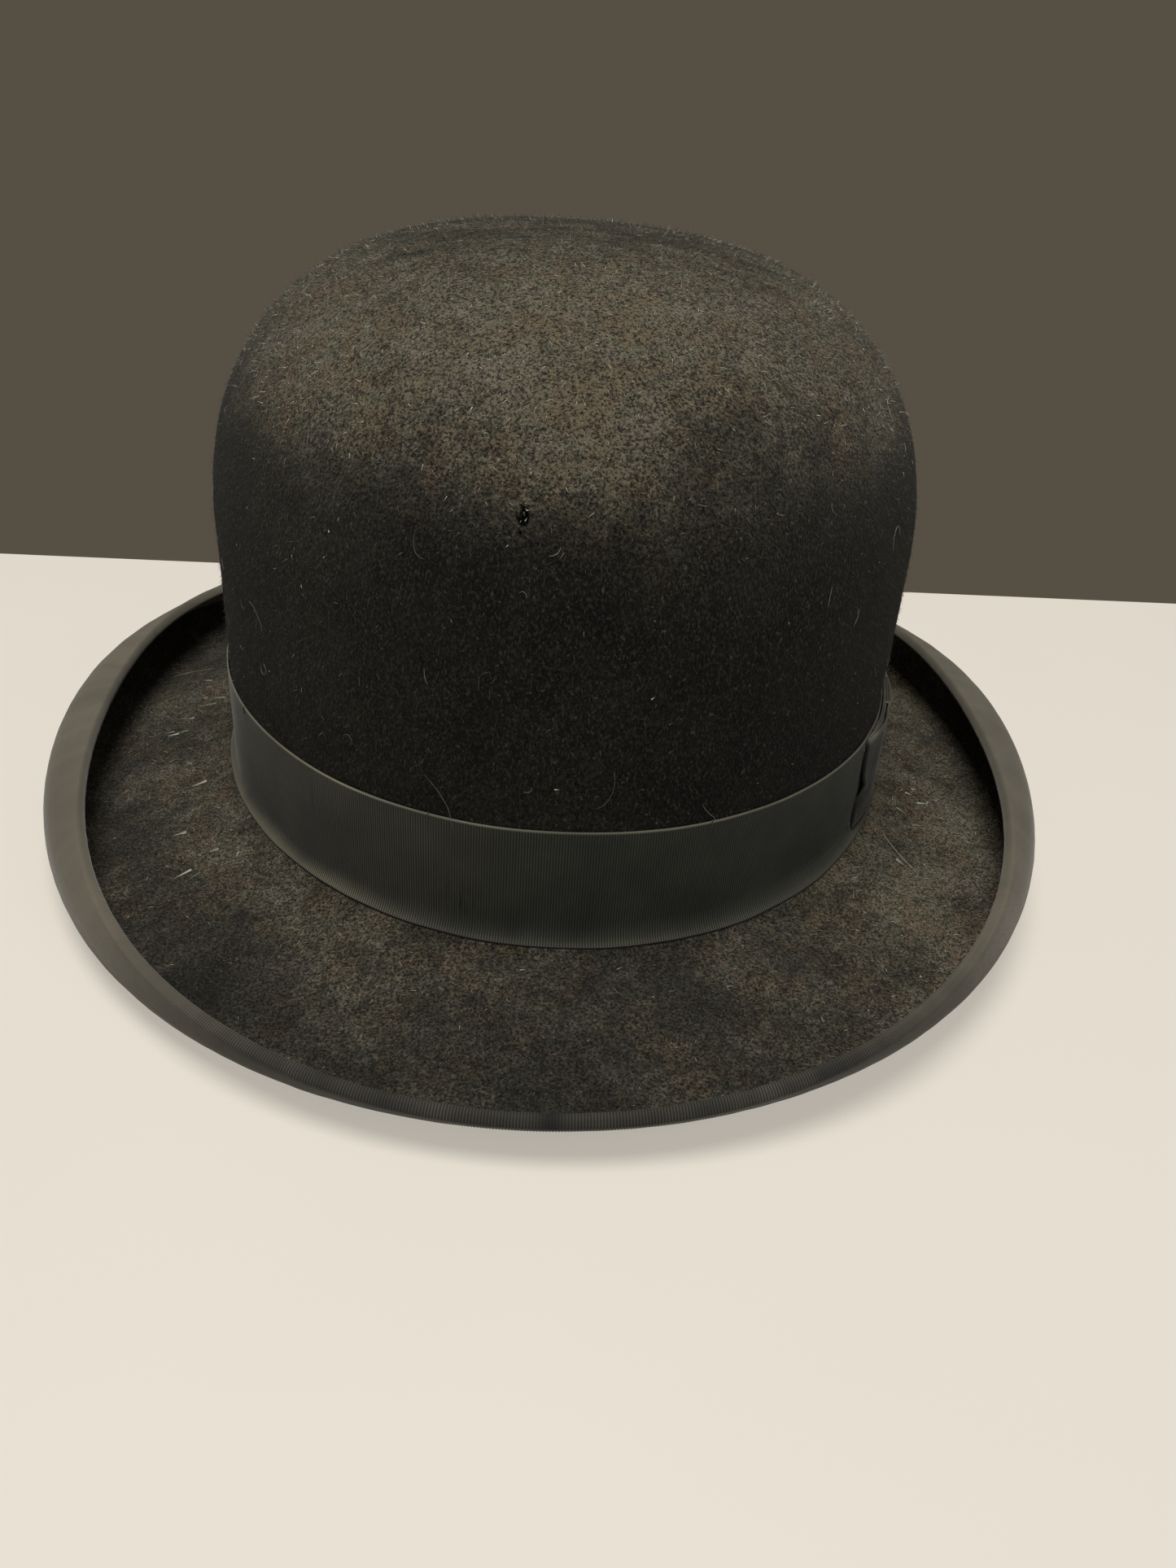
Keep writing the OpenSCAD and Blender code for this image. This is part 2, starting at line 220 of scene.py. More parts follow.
class Brim:
    """The middle of the felt from wall to lip, at the angles p."""

    def __init__(self, p):
        self.p = np.asarray(p, float)
        self.k = ends_to_sides(self.p, CURL_ANGLE)
        self.r = ends_to_sides(self.p, CURL_RADIUS)
        self.lip = lip(self.p)
        self.centre = self.lip - LIP_STRAIGHT * along(self.k) + self.r[:, None] * left(self.k)
        corner = np.array([-FELT / 2, 0.0])
        v = self.centre - corner
        reach = np.linalg.norm(v, axis=-1)
        self.slope = np.degrees(np.arctan2(v[:, 1], v[:, 0]) - np.arcsin(self.r / reach))
        rise = BREAK_RADIUS * np.tan(np.radians((90 + self.slope) / 2))
        self.turn = corner + np.stack([BREAK_RADIUS + 0 * rise, rise], -1)

    def arc(self, centre, radius, d):
        return centre - np.asarray(radius).reshape(-1, 1) * left(d)

    def path(self, turn_steps, blade_steps, curl_steps, lip_steps):
        """Rows of (point, direction) from the wall's foot to the lip."""
        rows = []
        for t in np.linspace(0, 1, turn_steps):
            d = -90 + (90 + self.slope) * t
            rows.append((self.arc(self.turn, BREAK_RADIUS, d), d))
        start = rows[-1][0]
        end = self.arc(self.centre, self.r, self.slope)
        for t in np.linspace(0, 1, blade_steps + 2)[1:-1]:
            rows.append((start + (end - start) * t, self.slope))
        for t in np.linspace(0, 1, curl_steps):
            d = self.slope + (self.k - self.slope) * t
            rows.append((self.arc(self.centre, self.r, d), d))
        last = rows[-1][0]
        for t in np.linspace(0, 1, lip_steps + 1)[1:]:
            rows.append((last + (self.lip - last) * t, self.k))
        return rows

    def from_lip(self, s):
        """(point, direction) at a distance s back from the lip."""
        turned = np.degrees(np.maximum(s - LIP_STRAIGHT, 0) / self.r)
        d = np.maximum(self.k - turned, self.slope)
        rest = np.maximum(np.radians(turned - (self.k - self.slope)) * self.r, 0)
        flat = self.lip - s[:, None] * along(self.k)
        bent = self.arc(self.centre, self.r, d) - rest[:, None] * along(d)
        near = s < LIP_STRAIGHT
        return np.where(near[:, None], flat, bent), np.where(near, self.k, d)


def wall_face(p, z):
    """Outside of the wall at height z: it turns outward at its foot."""
    f = Brim(p).turn
    r = BREAK_RADIUS - FELT / 2
    drop = np.clip(f[:, 1] - z, 0, r * 0.99)
    return np.where(z >= f[:, 1], 0, f[:, 0] - np.sqrt(r * r - drop ** 2))


def dome(p, d, inset):
    """Point of the dome at angle p and dome angle d, where 90 is the tip."""
    r = np.maximum(cos(d), 0) ** (2 / WALL_POWER)
    h = np.maximum(sin(d), 0) ** (2 / TIP_POWER)
    x = (HALF_W - inset) * r * sin(p) * (1 - EGG * cos(p))
    y = -(HALF_L - inset) * r * cos(p)
    return np.stack([x, y, SHOULDER + (CROWN_H - SHOULDER - inset) * h + 0 * x], -1)


# -------- mesh making

def add_object(name, data):
    """A new object in the scene."""
    made = bpy.data.objects.new(name, data)
    bpy.context.scene.collection.objects.link(made)
    return made


def make_mesh(name, points, faces, look, values=None, smooth_faces=True, extra=False):
    """An object from points in millimetres. values maps an attribute's name to one number a point.

    A look is a material and the name of its slot in the record; the name is not used here. The piece takes
    the place of the CAD node that its name begins with, unless it is an extra.
    """
    mesh = bpy.data.meshes.new(name)
    mesh.from_pydata((np.asarray(points, float) * MM).tolist(), [], faces)
    mesh.validate()
    for key, data in (values or {}).items():
        attribute = mesh.attributes.new(key, "FLOAT", "POINT")
        attribute.data.foreach_set("value", np.asarray(data, np.float32).ravel())
    mesh.polygons.foreach_set("use_smooth", np.full(len(mesh.polygons), smooth_faces))
    mesh.update()
    piece = add_object(name, mesh)
    material, slot = look
    mesh.materials.append(material)
    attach(piece, "root")
    if not extra:
        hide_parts(name.split(".")[0])


def grid_faces(n, m, ring_n, ring_m):
    """Quads of an n by m grid of points, closed on itself where asked."""
    i = np.arange(n if ring_n else n - 1)[:, None]
    j = np.arange(m if ring_m else m - 1)[None, :]
    i1, j1 = (i + 1) % n, (j + 1) % m
    quads = np.stack([i * m + j, i1 * m + j, i1 * m + j1, i * m + j1], -1)
    return quads.reshape(-1, 4).tolist()


def end_fans(n, m):
    """Triangles that close a ring-shaped grid's first and last rows with two more points."""
    first = [[n * m, (i + 1) % n * m, i * m] for i in range(n)]
    return first + [[n * m + 1, i * m + m - 1, (i + 1) % n * m + m - 1] for i in range(n)]


def ring(name, grid, look, values=None):
    """A closed ring from a grid of sections: grid[i] is the closed outline at station i."""
    faces = grid_faces(*grid.shape[:2], True, True)
    make_mesh(name, grid.reshape(-1, 3), faces, look, values)


def normals_of(grid):
    """Unit normals of a grid that is closed round its first axis."""
    a = np.roll(grid, -1, 0) - np.roll(grid, 1, 0)
    b = np.gradient(grid, axis=1)
    return unit(np.cross(b, a))


def sheet(middle, across, normal, thickness, rows, relief):
    """Closed ribbon: K middle points, half-width vectors and normals, with relief(k, w) on its face."""
    w = np.linspace(-1, 1, rows)
    face = middle[:, None, :] + across[:, None, :] * w[None, :, None]
    raised = thickness / 2 + relief(np.arange(len(middle))[:, None], w[None, :])
    front = face + normal[:, None, :] * raised[..., None]
    back = face - normal[:, None, :] * (thickness / 2)
    return np.concatenate([front, back[:, ::-1]], 1)


def strip(name, parts, look, values):
    """One object from open ribbons, each a grid of closed sections with flat ends."""
    points, faces, data, base = [], [], {k: [] for k in values[0]}, 0
    for grid, value in zip(parts, values):
        n, m = grid.shape[:2]
        faces += [[base + v for v in quad] for quad in grid_faces(n, m, False, True)]
        half = m // 2
        for start, flip in ((0, False), ((n - 1) * m, True)):
            for j in range(half - 1):
                quad = [start + j, start + j + 1, start + m - 2 - j, start + m - 1 - j]
                faces.append([base + v for v in (quad[::-1] if flip else quad)])
        points.append(grid.reshape(-1, 3))
        for key, part in value.items():
            data[key].append(np.broadcast_to(part, (n, m)).ravel())
        base += n * m
    data = {k: np.concatenate(v) for k, v in data.items()}
    make_mesh(name, np.concatenate(points), faces, look, data)


def threads(name, lines, radius, look, sides=6, **more):
    """Tubes with closed ends along short lines of points."""
    points, faces, base = [], [], 0
    turn = np.arange(sides) * 360 / sides
    for line in lines:
        line = np.asarray(line, float)
        n = len(line)
        d = unit(np.gradient(line, axis=0))
        side = unit(np.cross(d, d[:1] + np.array([[0.3, 0.9, 0.2]])))
        up = np.cross(d, side)
        r = radius * np.sqrt(np.clip(1.04 - np.linspace(-1, 1, n) ** 4, 0, 1))[:, None, None]
        circle = cos(turn)[None, :, None] * side[:, None] + sin(turn)[None, :, None] * up[:, None]
        points.append((line[:, None] + r * circle).reshape(-1, 3))
        faces += [[base + v for v in quad] for quad in grid_faces(n, sides, False, True)]
        faces.append([base + k for k in range(sides)])
        faces.append([base + (n - 1) * sides + k for k in reversed(range(sides))])
        base += n * sides
    make_mesh(name, np.concatenate(points), faces, look, **more)


# -------- materials

class Net:
    """Short names for the shader nodes of one material."""

    def __init__(self, name):
        self.material = bpy.data.materials.new(name)
        self.material.use_nodes = True
        self.tree = self.material.node_tree
        self.tree.nodes.clear()
        self.output = self.tree.nodes.new("ShaderNodeOutputMaterial")
        self.place = self.add("ShaderNodeTexCoord").outputs["Object"]

    def add(self, kind, **inputs):
        node = self.tree.nodes.new(kind)
        for key, value in inputs.items():
            self.put(node.inputs[key.replace("_", " ")], value)
        return node

    def put(self, socket, value):
        """Links a socket to another node's output, or sets it to a plain value."""
        if isinstance(value, bpy.types.NodeSocket):
            self.tree.links.new(value, socket)
        elif isinstance(value, tuple) and socket.type == "RGBA":
            socket.default_value = (*value, 1)
        else:
            socket.default_value = value

    def noise(self, size, detail=2.0, rough=0.5, stretch=None):
        """Noise with features about size millimetres long."""
        place = self.place
        if stretch:
            place = self.add("ShaderNodeMapping", Vector=place, Scale=stretch).outputs[0]
        node = self.add("ShaderNodeTexNoise", Vector=place, Scale=1 / (size * MM),
                        Detail=detail, Roughness=rough)
        return node.outputs["Fac"]

    def value(self, key):
        node = self.tree.nodes.new("ShaderNodeAttribute")
        node.attribute_name = key
        return node.outputs["Fac"]

    def times(self, a, b, clamp=False):
        node = self.tree.nodes.new("ShaderNodeMath")
        node.operation = "MULTIPLY"
        node.use_clamp = clamp
        self.put(node.inputs[0], a)
        self.put(node.inputs[1], b)
        return node.outputs[0]

    def ramp(self, value, low, high, to_low=0.0, to_high=1.0):
        node = self.add("ShaderNodeMapRange", Value=value, From_Min=low, From_Max=high,
                        To_Min=to_low, To_Max=to_high)
        return node.outputs[0]

    def mix(self, share, a, b):
        """Colour that goes from a to b as share goes from 0 to 1."""
        node = self.tree.nodes.new("ShaderNodeMix")
        node.data_type = "RGBA"
        factor, color_a, color_b, color_out = 0, 6, 7, 2      # places of the node's sockets
        for index, value in ((factor, share), (color_a, a), (color_b, b)):
            self.put(node.inputs[index], value)
        return node.outputs[color_out]

    def bump(self, height, depth, before=None):
        """Bump whose full height is depth millimetres."""
        node = self.add("ShaderNodeBump", Height=height, Strength=1.0, Distance=depth * MM)
        if before is not None:
            self.put(node.inputs["Normal"], before)
        return node.outputs[0]

    def finish(self, color, rough, normal=None, **extra):
        if normal is not None:
            extra["Normal"] = normal
        shader = self.add("ShaderNodeBsdfPrincipled", Base_Color=color, Roughness=rough, **extra)
        self.tree.links.new(shader.outputs[0], self.output.inputs[0])
        return self.material


def felt_material():
    """Black fur felt: fine brushed nap with pale streaks of painted sheen, pale grain, dusty brown and
    painted light where the attribute says so, and the moth hole painted near black as painted shade.
    """
    net = Net("fur_felt")
    grain = net.noise(0.6, 3, 0.8)
    coarse = net.noise(2.0, 3, 0.75)
    nap = net.noise(0.5, 2, 0.6, stretch=(1, 1, 0.6))
    blotch = net.noise(9, 3, 0.6)
    dust_and_light = net.value("dust_and_light")
    tint = net.noise(9, 2, 0.5)
    cloth = net.mix(net.ramp(blotch, 0.35, 0.65), (0.0026, 0.0032, 0.0038), (0.0060, 0.0064, 0.0058))
    # Pale streaks along the nap: painted sheen where the brushed hairs catch the light.
    cloth = net.mix(net.ramp(nap, 0.50, 0.70), cloth, (0.028, 0.030, 0.026))
    dirt = net.mix(net.ramp(tint, 0.42, 0.58), (0.152, 0.122, 0.080), (0.096, 0.112, 0.062))
    dirt = net.mix(net.ramp(blotch, 0.4, 0.62), dirt, (0.175, 0.150, 0.114))
    strands = net.ramp(grain, 0.42, 0.62, 0.12, 1.75)
    rough = net.times(strands, net.ramp(coarse, 0.32, 0.68, 0.4, 1.65))
    share = net.times(dust_and_light, rough, clamp=True)
    # Mixed in by the attribute: dusty brown, and painted light on the crown's upper front.
    color = net.mix(share, cloth, dirt)
    speck = net.ramp(net.noise(1.1, 1, 0.4), 0.71, 0.75)
    color = net.mix(net.times(speck, 0.15), color, (0.30, 0.28, 0.23))
    # The moth hole's dent is painted near black: painted shade for the hole's depth.
    color = net.mix(net.value("pit"), color, (0.001, 0.001, 0.001))
    normal = net.bump(grain, 0.55)
    normal = net.bump(nap, 0.3, normal)
    return net.finish(color, 0.95, normal, Sheen_Weight=0.05, Sheen_Roughness=0.5,
                      Sheen_Tint=(0.8, 0.78, 0.72), Specular_IOR_Level=0.08)


def ribbon_material(name, dark, pale, worn, sheen):
    """Grosgrain. The ribs are in the mesh, and attributes colour it: the rib valleys painted dark (painted
    shade), faded and worn parts paler with painted highlight on the binding's fold, and stains and joints
    darker with painted shade at the band's foot.
    """
    net = Net(name)
    weave = net.noise(0.22, 2, 0.6)
    cloud = net.noise(14, 3, 0.6)
    color = net.mix(net.ramp(cloud, 0.35, 0.65), dark, pale)
    color = net.mix(net.ramp(weave, 0.35, 0.7, 0.0, 0.35), color, tuple(0.45 * c for c in dark))
    color = net.mix(net.value("fade_and_highlight"), color, worn)
    # Rib valleys are painted near black: painted shade between the raised ribs.
    valley = net.ramp(net.value("rib"), 0.15, 0.85, 0.0, 0.8)
    color = net.mix(valley, color, tuple(0.08 * c for c in dark))
    # Stains and dark joints, and on the hat band the painted shade at its foot and back.
    color = net.mix(net.value("stain_and_shade"), color, (0.006, 0.006, 0.006))
    normal = net.bump(weave, 0.06)
    return net.finish(color, 0.78, normal, Sheen_Weight=sheen, Sheen_Roughness=0.4,
                      Specular_IOR_Level=0.25)


def leather_material():
    net = Net("sweatband_leather")
    pores = net.add("ShaderNodeTexVoronoi", Vector=net.place, Scale=1 / (0.9 * MM)).outputs["Distance"]
    cloud = net.noise(18, 4, 0.6)
    color = net.mix(net.ramp(cloud, 0.35, 0.68), (0.22, 0.105, 0.045), (0.10, 0.045, 0.022))
    color = net.mix(net.value("worn"), color, (0.035, 0.018, 0.012))
    normal = net.bump(pores, 0.10)
    normal = net.bump(net.noise(2.5, 3, 0.6), 0.15, normal)
    return net.finish(color, net.ramp(cloud, 0.3, 0.7, 0.38, 0.58), normal, Coat_Weight=0.15,
                      Coat_Roughness=0.35)


def satin_material():
    net = Net("lining_satin")
    warp = net.noise(0.35, 2, 0.5, stretch=(1, 1, 0.12))
    cloud = net.noise(22, 2, 0.5)
    color = net.mix(net.ramp(cloud, 0.3, 0.7), (0.115, 0.016, 0.024), (0.19, 0.03, 0.042))
    color = net.mix(net.ramp(warp, 0.45, 0.75, 0, 0.4), color, (0.26, 0.07, 0.08))
    return net.finish(color, 0.36, net.bump(warp, 0.05), Anisotropic=0.6, Sheen_Weight=0.3)


def plain_material(name, grain, low, dark, pale, rough, depth, **extra):
    """One grain of noise that tints the surface and gives it a bump."""
    net = Net(name)
    height = net.noise(*grain)
    color = net.mix(net.ramp(height, low, 0.7), dark, pale)
    return net.finish(color, rough, net.bump(height, depth), **extra)


def thread_material(name, dark, pale):
    return plain_material(name, (0.25, 2, 0.6, (1, 1, 2)), 0.35, dark, pale, 0.7, 0.05, Sheen_Weight=0.3)


def lint_material():
    net = Net("lint")
    tone = net.value("tone")
    tint = net.ramp(net.noise(9, 2, 0.5), 0.42, 0.58)
    pale = net.mix(tint, (0.64, 0.585, 0.465), (0.59, 0.60, 0.455))
    color = net.mix(tone, (0.028, 0.029, 0.027), pale)
    return net.finish(color, net.ramp(net.noise(0.4), 0.3, 0.7, 0.6, 0.9), Sheen_Weight=0.2)


felt = felt_material(), "felt"
grosgrain = ribbon_material("grosgrain_band", (0.037, 0.041, 0.034), (0.061, 0.067, 0.053),
                            (0.25, 0.23, 0.165), 0.2), "grosgrain"
binding_cloth = ribbon_material("grosgrain_binding", (0.034, 0.032, 0.027), (0.060, 0.056, 0.046),
                                (0.285, 0.255, 0.188), 0.2), "binding"
inner_ribbon = ribbon_material("inner_ribbon", (0.010, 0.009, 0.010), (0.02, 0.018, 0.02),
                               (0.04, 0.04, 0.04), 0.4), "inner_ribbon"
leather = leather_material(), "leather"
satin = satin_material(), "satin"
thread = thread_material("black_thread", (0.008, 0.008, 0.009), (0.03, 0.03, 0.03)), "thread"
pale_thread = thread_material("linen_thread", (0.20, 0.13, 0.07), (0.38, 0.28, 0.17)), "pale_thread"
oilcloth = plain_material("oilcloth", (0.5, 2, 0.5), 0.3, (0.012, 0.011, 0.01),
                          (0.03, 0.028, 0.024), 0.35, 0.06, Coat_Weight=0.3), "oilcloth"
reed = plain_material("reed", (0.6, 3, 0.6, (0.3, 0.3, 1)), 0.3, (0.34, 0.27, 0.15),
                      (0.52, 0.44, 0.28), 0.5, 0.05), "reed"
lint = lint_material(), "felt"


# -------- felt body

HOLE_P, HOLE_D = -8.5, 20.0     # moth hole in the front of the dome: angle round and up
HOLE_SIZE = (1.05, 6.0, 2.0)    # its half size along x, y and z
HOLE_DEPTH = 1.3


def closer_near(even, middle, reach, count):
    """Even steps with closer ones round a middle value, in rising order."""
    near = middle + np.linspace(-reach, reach, count)
    return np.sort(np.concatenate([even[np.abs(even - middle) > reach + 0.2], near]))


def felt_stations():
    """Angles round the hat, closer together at the moth hole."""
    return closer_near(np.linspace(-180, 180, 380, endpoint=False), HOLE_P, 2.2, 26)


def dome_angles():
    """Dome angles from near the tip down to the shoulder, closer together at the moth hole."""
    return closer_near(np.linspace(88.5, 0, 74), HOLE_D, 2.4, 22)[::-1]


def dust_and_light_on(points, p):
    """How dusty the felt is painted, and where light is painted on it: dusty brown most on the upper front of
    the crown, which also stands for the light on the crown's top (painted light), patchy on the brim, and
    darker on the wearer's left of the lower crown.
    """
    z = points[..., 2]
    front = 0.5 + 0.5 * cos(p)
    patch = stains.layers(points, 26, 4)
    fine = stains.layers(points + 300, 5, 3)
    turn = sin(p)
    edge = z + 8 * patch + 5 * bell(p, 4, 24) - 4 - 5 * smooth(turn, 0.1, 0.9)
    # Crown: dusty brown on the upper front, which also paints the light falling on the crown's top (painted
    # light).
    crown = smooth(edge, 80, 116) * (0.5 + 0.4 * front) + 0.08 * smooth(edge, 60, 92) * front
    crown = crown * (0.87 + 0.38 * patch + 0.12 * bell(p, 0, 22)) * (1 - 0.35 * smooth(z, 119, 130))
    streak = stains(points * (0.25, 1, 1) + 500, 5)
    crown = crown * (1 - 0.35 * smooth(z, 116, 126) * smooth(streak, 0.0, 0.5))
    on_brim = smooth(16 - z, 0, 8)
    brim = on_brim * (0.22 + 0.19 * patch + 0.06 * turn ** 2 - 0.13 * bell(p, -35, 18)
                      + 0.10 * bell(p, 25, 22) + 0.42 * smooth(turn, 0.25, 0.95))
    brim = brim * (0.74 + 0.6 * smooth(stains.layers(points + 900, 13, 3), -0.3, 0.4))
    foot = on_brim * bell(z, -1, 4) * smooth(-points[..., 0], -10, 70) * 0.35 * front
    # Lower crown: a little dusty, painted darker on the wearer's left.
    low = (0.05 + 0.06 * patch) * (1 - 0.9 * smooth(turn, -0.2, 0.5))
    amount = np.maximum.reduce([crown, brim + foot, low])
    return np.clip(amount + 0.22 * fine * smooth(amount, 0.03, 0.4), 0, 1)


def felt_grid():
    """Angles, the grid of points from tip to lip and back inside, and its count of outside rows."""
    p = felt_stations()
    under_band = BAND_TOP - 4
    heights = [*np.linspace(SHOULDER, under_band, 22)[1:], *np.linspace(under_band, 6, 5)[1:]]
    rows = [dome(p, d, 0) for d in dome_angles()] + [place(p, 0 * p, z) for z in heights]
    path = Brim(p).path(turn_steps=6, blade_steps=34, curl_steps=26, lip_steps=4)
    for point, d in path:
        q = point + FELT / 2 * left(d)
        rows.append(place(p, *q.T))
    upper = len(rows)
    for point, d in path[::-1][::2]:
        q = point - FELT / 2 * left(d)
        rows.append(place(p, *q.T))
    rows += [place(p, 0 * p - FELT, z) for z in np.linspace(8, SHOULDER, 8)]
    rows += [dome(p, d, FELT) for d in dome_angles()[::-1][::5]]
    return p, np.stack(rows, 1), upper


def felt_body():
    p, grid, upper = felt_grid()
    around = np.broadcast_to(p[:, None], grid.shape[:2])
    normal = normals_of(grid)
    outside = (np.arange(grid.shape[1]) < upper)[None, :]
    wave = 0.35 * lumps.layers(grid, 34, 2) + 0.10 * lumps.layers(grid, 4.5, 2)
    wave = wave * np.where(outside, 1, 0.6)
    band_zone = smooth(grid[..., 2], -2, 4) * smooth(BAND_TOP + 6 - grid[..., 2], 0, 8)
    near_wall = np.hypot(grid[..., 0] / HALF_W, grid[..., 1] / HALF_L) < 1.08
    wave = wave * (1 - band_zone * near_wall)
    lip_zone = np.zeros(grid.shape[1])
    lip_zone[upper - 16:upper + 12] = 1
    wave = wave * (1 - 0.85 * lip_zone)
    away = (grid - dome(HOLE_P, HOLE_D, 0)) / HOLE_SIZE
    ragged = 1 + 0.5 * lumps(grid + 70, 0.9)
    depth = np.sqrt(away[..., 0] ** 2 + away[..., 1] ** 2 + away[..., 2] ** 2) * ragged
    pit = (1 - smooth(depth, 0.75, 1.15)) * outside
    points = grid + normal * (wave - HOLE_DEPTH * pit)[..., None]
    n, m = grid.shape[:2]
    faces = grid_faces(n, m, True, False)
    faces += end_fans(n, m)
    ends = np.stack([dome(0.0, 90, 0), dome(0.0, 90, FELT)])
    ends[0] += (0, 0, wave[:, 0].mean())
    values = {
        "dust_and_light": np.append(dust_and_light_on(grid, around) * (1 - pit), [0.5, 0.1]),
        "pit": np.append(pit, [0, 0]),
    }
    make_mesh("felt_body.felt", np.concatenate([points.reshape(-1, 3), ends]), faces,
                      felt, values)
    dust_and_light = values["dust_and_light"][:n * m].reshape(n, m)
    return [part[:, :upper] for part in (points, normal, around, dust_and_light)]


felt_points, felt_normals, felt_p, felt_dust_and_light = felt_body()


# -------- nap and lint

def pick_on_felt(count, keep):
    """Random places on the outside of the felt, as (point, normal, downward, angle, share of dusty brown and
    painted light).
    """
    area = np.linalg.norm(np.cross(np.roll(felt_points, -1, 0)[:, :-1] - felt_points[:, :-1],
                                   np.diff(felt_points, axis=1)), axis=-1)
    chance = (area * keep[:, :-1]).ravel()
    where = rng.choice(len(chance), count, p=chance / chance.sum())
    i, j = np.divmod(where, area.shape[1])
    a, b = rng.random((2, count, 1))
    i1 = (i + 1) % len(felt_points)
    point = ((1 - a) * ((1 - b) * felt_points[i, j] + b * felt_points[i, j + 1])
             + a * ((1 - b) * felt_points[i1, j] + b * felt_points[i1, j + 1]))
    down = unit(felt_points[i, j + 1] - felt_points[i, j])
    return point, felt_normals[i, j], down, felt_p[i, j], felt_dust_and_light[i, j]


def bare_felt():
    """1 where the felt shows: not under the band or the binding."""
    z = felt_points[..., 2]
    wall = np.hypot(felt_points[..., 0] / HALF_W, felt_points[..., 1] / HALF_L) < 1.05
    keep = 1.0 - (wall & (z < BAND_TOP + 0.4) & (z > -3))
    keep[:, -20:] = 0
    return keep


def spikes(name, root, way, width, tone):
    """Fine hairs, each a closed three-sided spike from root along way."""
    count = len(root)
    side = unit(np.cross(way, rng.normal(size=(count, 3))))
    up = unit(np.cross(way, side))
    w = np.asarray(width).reshape(-1, 1)
    corners = [root + w * (cos(t) * side + sin(t) * up) for t in (0, 120, 240)]
    points = np.stack(corners + [root + way], 1).reshape(-1, 3)
    base = np.arange(count)[:, None] * 4
    faces = np.concatenate([base + np.array(f) for f in ([0, 2, 1], [0, 1, 3], [1, 2, 3], [2, 0, 3])])
    make_mesh(name, points, faces.tolist(), lint, {"tone": np.repeat(tone, 4)},
              smooth_faces=False, extra=True)


def brushed(down, normal, lie, stand, tangle, lengths):
    """Hairs that lie downwards, stand off the felt and are tangled, as vectors of their length."""
    count = len(down)
    way = down * lie + normal * rng.uniform(*stand, (count, 1)) + rng.normal(0, tangle, (count, 3))
    return unit(way) * rng.uniform(*lengths, (count, 1))


def felt_nap():
    """Short hairs that stand off the felt and lie mostly downwards, as they are brushed."""
    count = 44000
    point, normal, down, _, dust_and_light = pick_on_felt(count, bare_felt())
    way = brushed(down, normal, 0.9, (0.1, 0.7), 0.4, (0.4, 1.5))
    tone = np.clip(rng.gamma(0.4, 0.045, count) + 0.22 * dust_and_light * rng.gamma(0.7, 1.45, count), 0, 0.9)
    bright = rng.random(count) < 0.003
    tone[bright] = rng.uniform(0.15, 0.7, bright.sum())
    spikes("felt_body.nap", point - normal * 0.05, way, 0.045, tone)


def dusty_nap():
    """Dusty matted hairs: pale, tangled, and thickest where the felt is painted dustiest and lightest."""
    count = 46000
    keep = bare_felt() * np.clip(felt_dust_and_light - 0.04, 0, 1)
    point, normal, down, _, dust_and_light = pick_on_felt(count, keep)
    way = brushed(down, normal, 0.5, (0.0, 0.5), 0.6, (0.5, 1.7))
    dark = rng.random(count) < 0.4
    tone = np.clip(rng.gamma(0.6, 0.42, count) * (0.45 + 0.9 * dust_and_light), 0, 0.95)
    tone[dark] *= 0.05
    spikes("felt_body.dusty_nap", point - normal * 0.03, way, 0.065, tone)


def felt_flecks():
    """Pale crumbs all over, seven of them round the moth hole as painted highlights on its frayed edge, and
    short scratched marks on the brim at both sides.
    """
    count = 150
    point, normal, *_ = pick_on_felt(count, bare_felt())
    crumb = np.cross(normal, rng.normal(size=(count, 3)))
    crumb *= rng.uniform(0.2, 0.65, (count, 1))
    crumb_width = rng.uniform(0.07, 0.17, count)
    # Seven crumbs sit round the moth hole: painted highlights on its frayed edge.
    hole = dome(HOLE_P, HOLE_D, 0)
    point[:7] = hole + rng.normal(0, 1, (7, 3)) * (0.5, 0.0, 1.4) + (0, 0.35, 0)
    marks = 30
    keep = bare_felt() * (felt_points[..., 2] < 12) * (np.abs(np.abs(felt_p) - 84) < 34)
    keep[:, -46:] = 0
    at, up, _, q, _ = pick_on_felt(marks, keep)
    mark = level_ways(q)[0] * rng.uniform(1.4, 4.6, (marks, 1)) + rng.normal(0, 0.9, (marks, 3))
    mark -= up * np.sum(mark * up, axis=1, keepdims=True)
    spikes("felt_body.flecks", np.concatenate([point, at]) + 0.05 * np.concatenate([normal, up]),
           np.concatenate([crumb, mark]),
           np.concatenate([crumb_width, rng.uniform(0.22, 0.5, marks)]),
           np.concatenate([rng.uniform(0.3, 1, count), rng.uniform(0.25, 0.6, marks)]))


HAIR_STEPS = 14


def curly(start, normal, heading, length, bend, kink=9):
    """A hair that lies on the felt and curls as it goes."""
    side = np.cross(normal, heading)
    turn = np.cumsum(np.full(HAIR_STEPS, bend / HAIR_STEPS) + rng.normal(0, kink, HAIR_STEPS))
    step = length / HAIR_STEPS
    path = [start + normal * 0.15]
    for k, t in enumerate(turn):
        rise = 0.2 * step * (0.5 - k / HAIR_STEPS)
        path.append(path[-1] + step * (cos(t) * heading + sin(t) * side) + rise * normal)
    return np.array(path)


def long_hair(near, heading, length, bend):
    """A single long hair that starts at the felt's surface near a point."""
    away = np.linalg.norm(felt_points - near, axis=-1)
    i, j = np.unravel_index(np.argmin(away), away.shape)
    normal = felt_normals[i, j]
    heading = heading - normal * (heading @ normal)
    return curly(felt_points[i, j], normal, unit(heading), length, bend, 3)


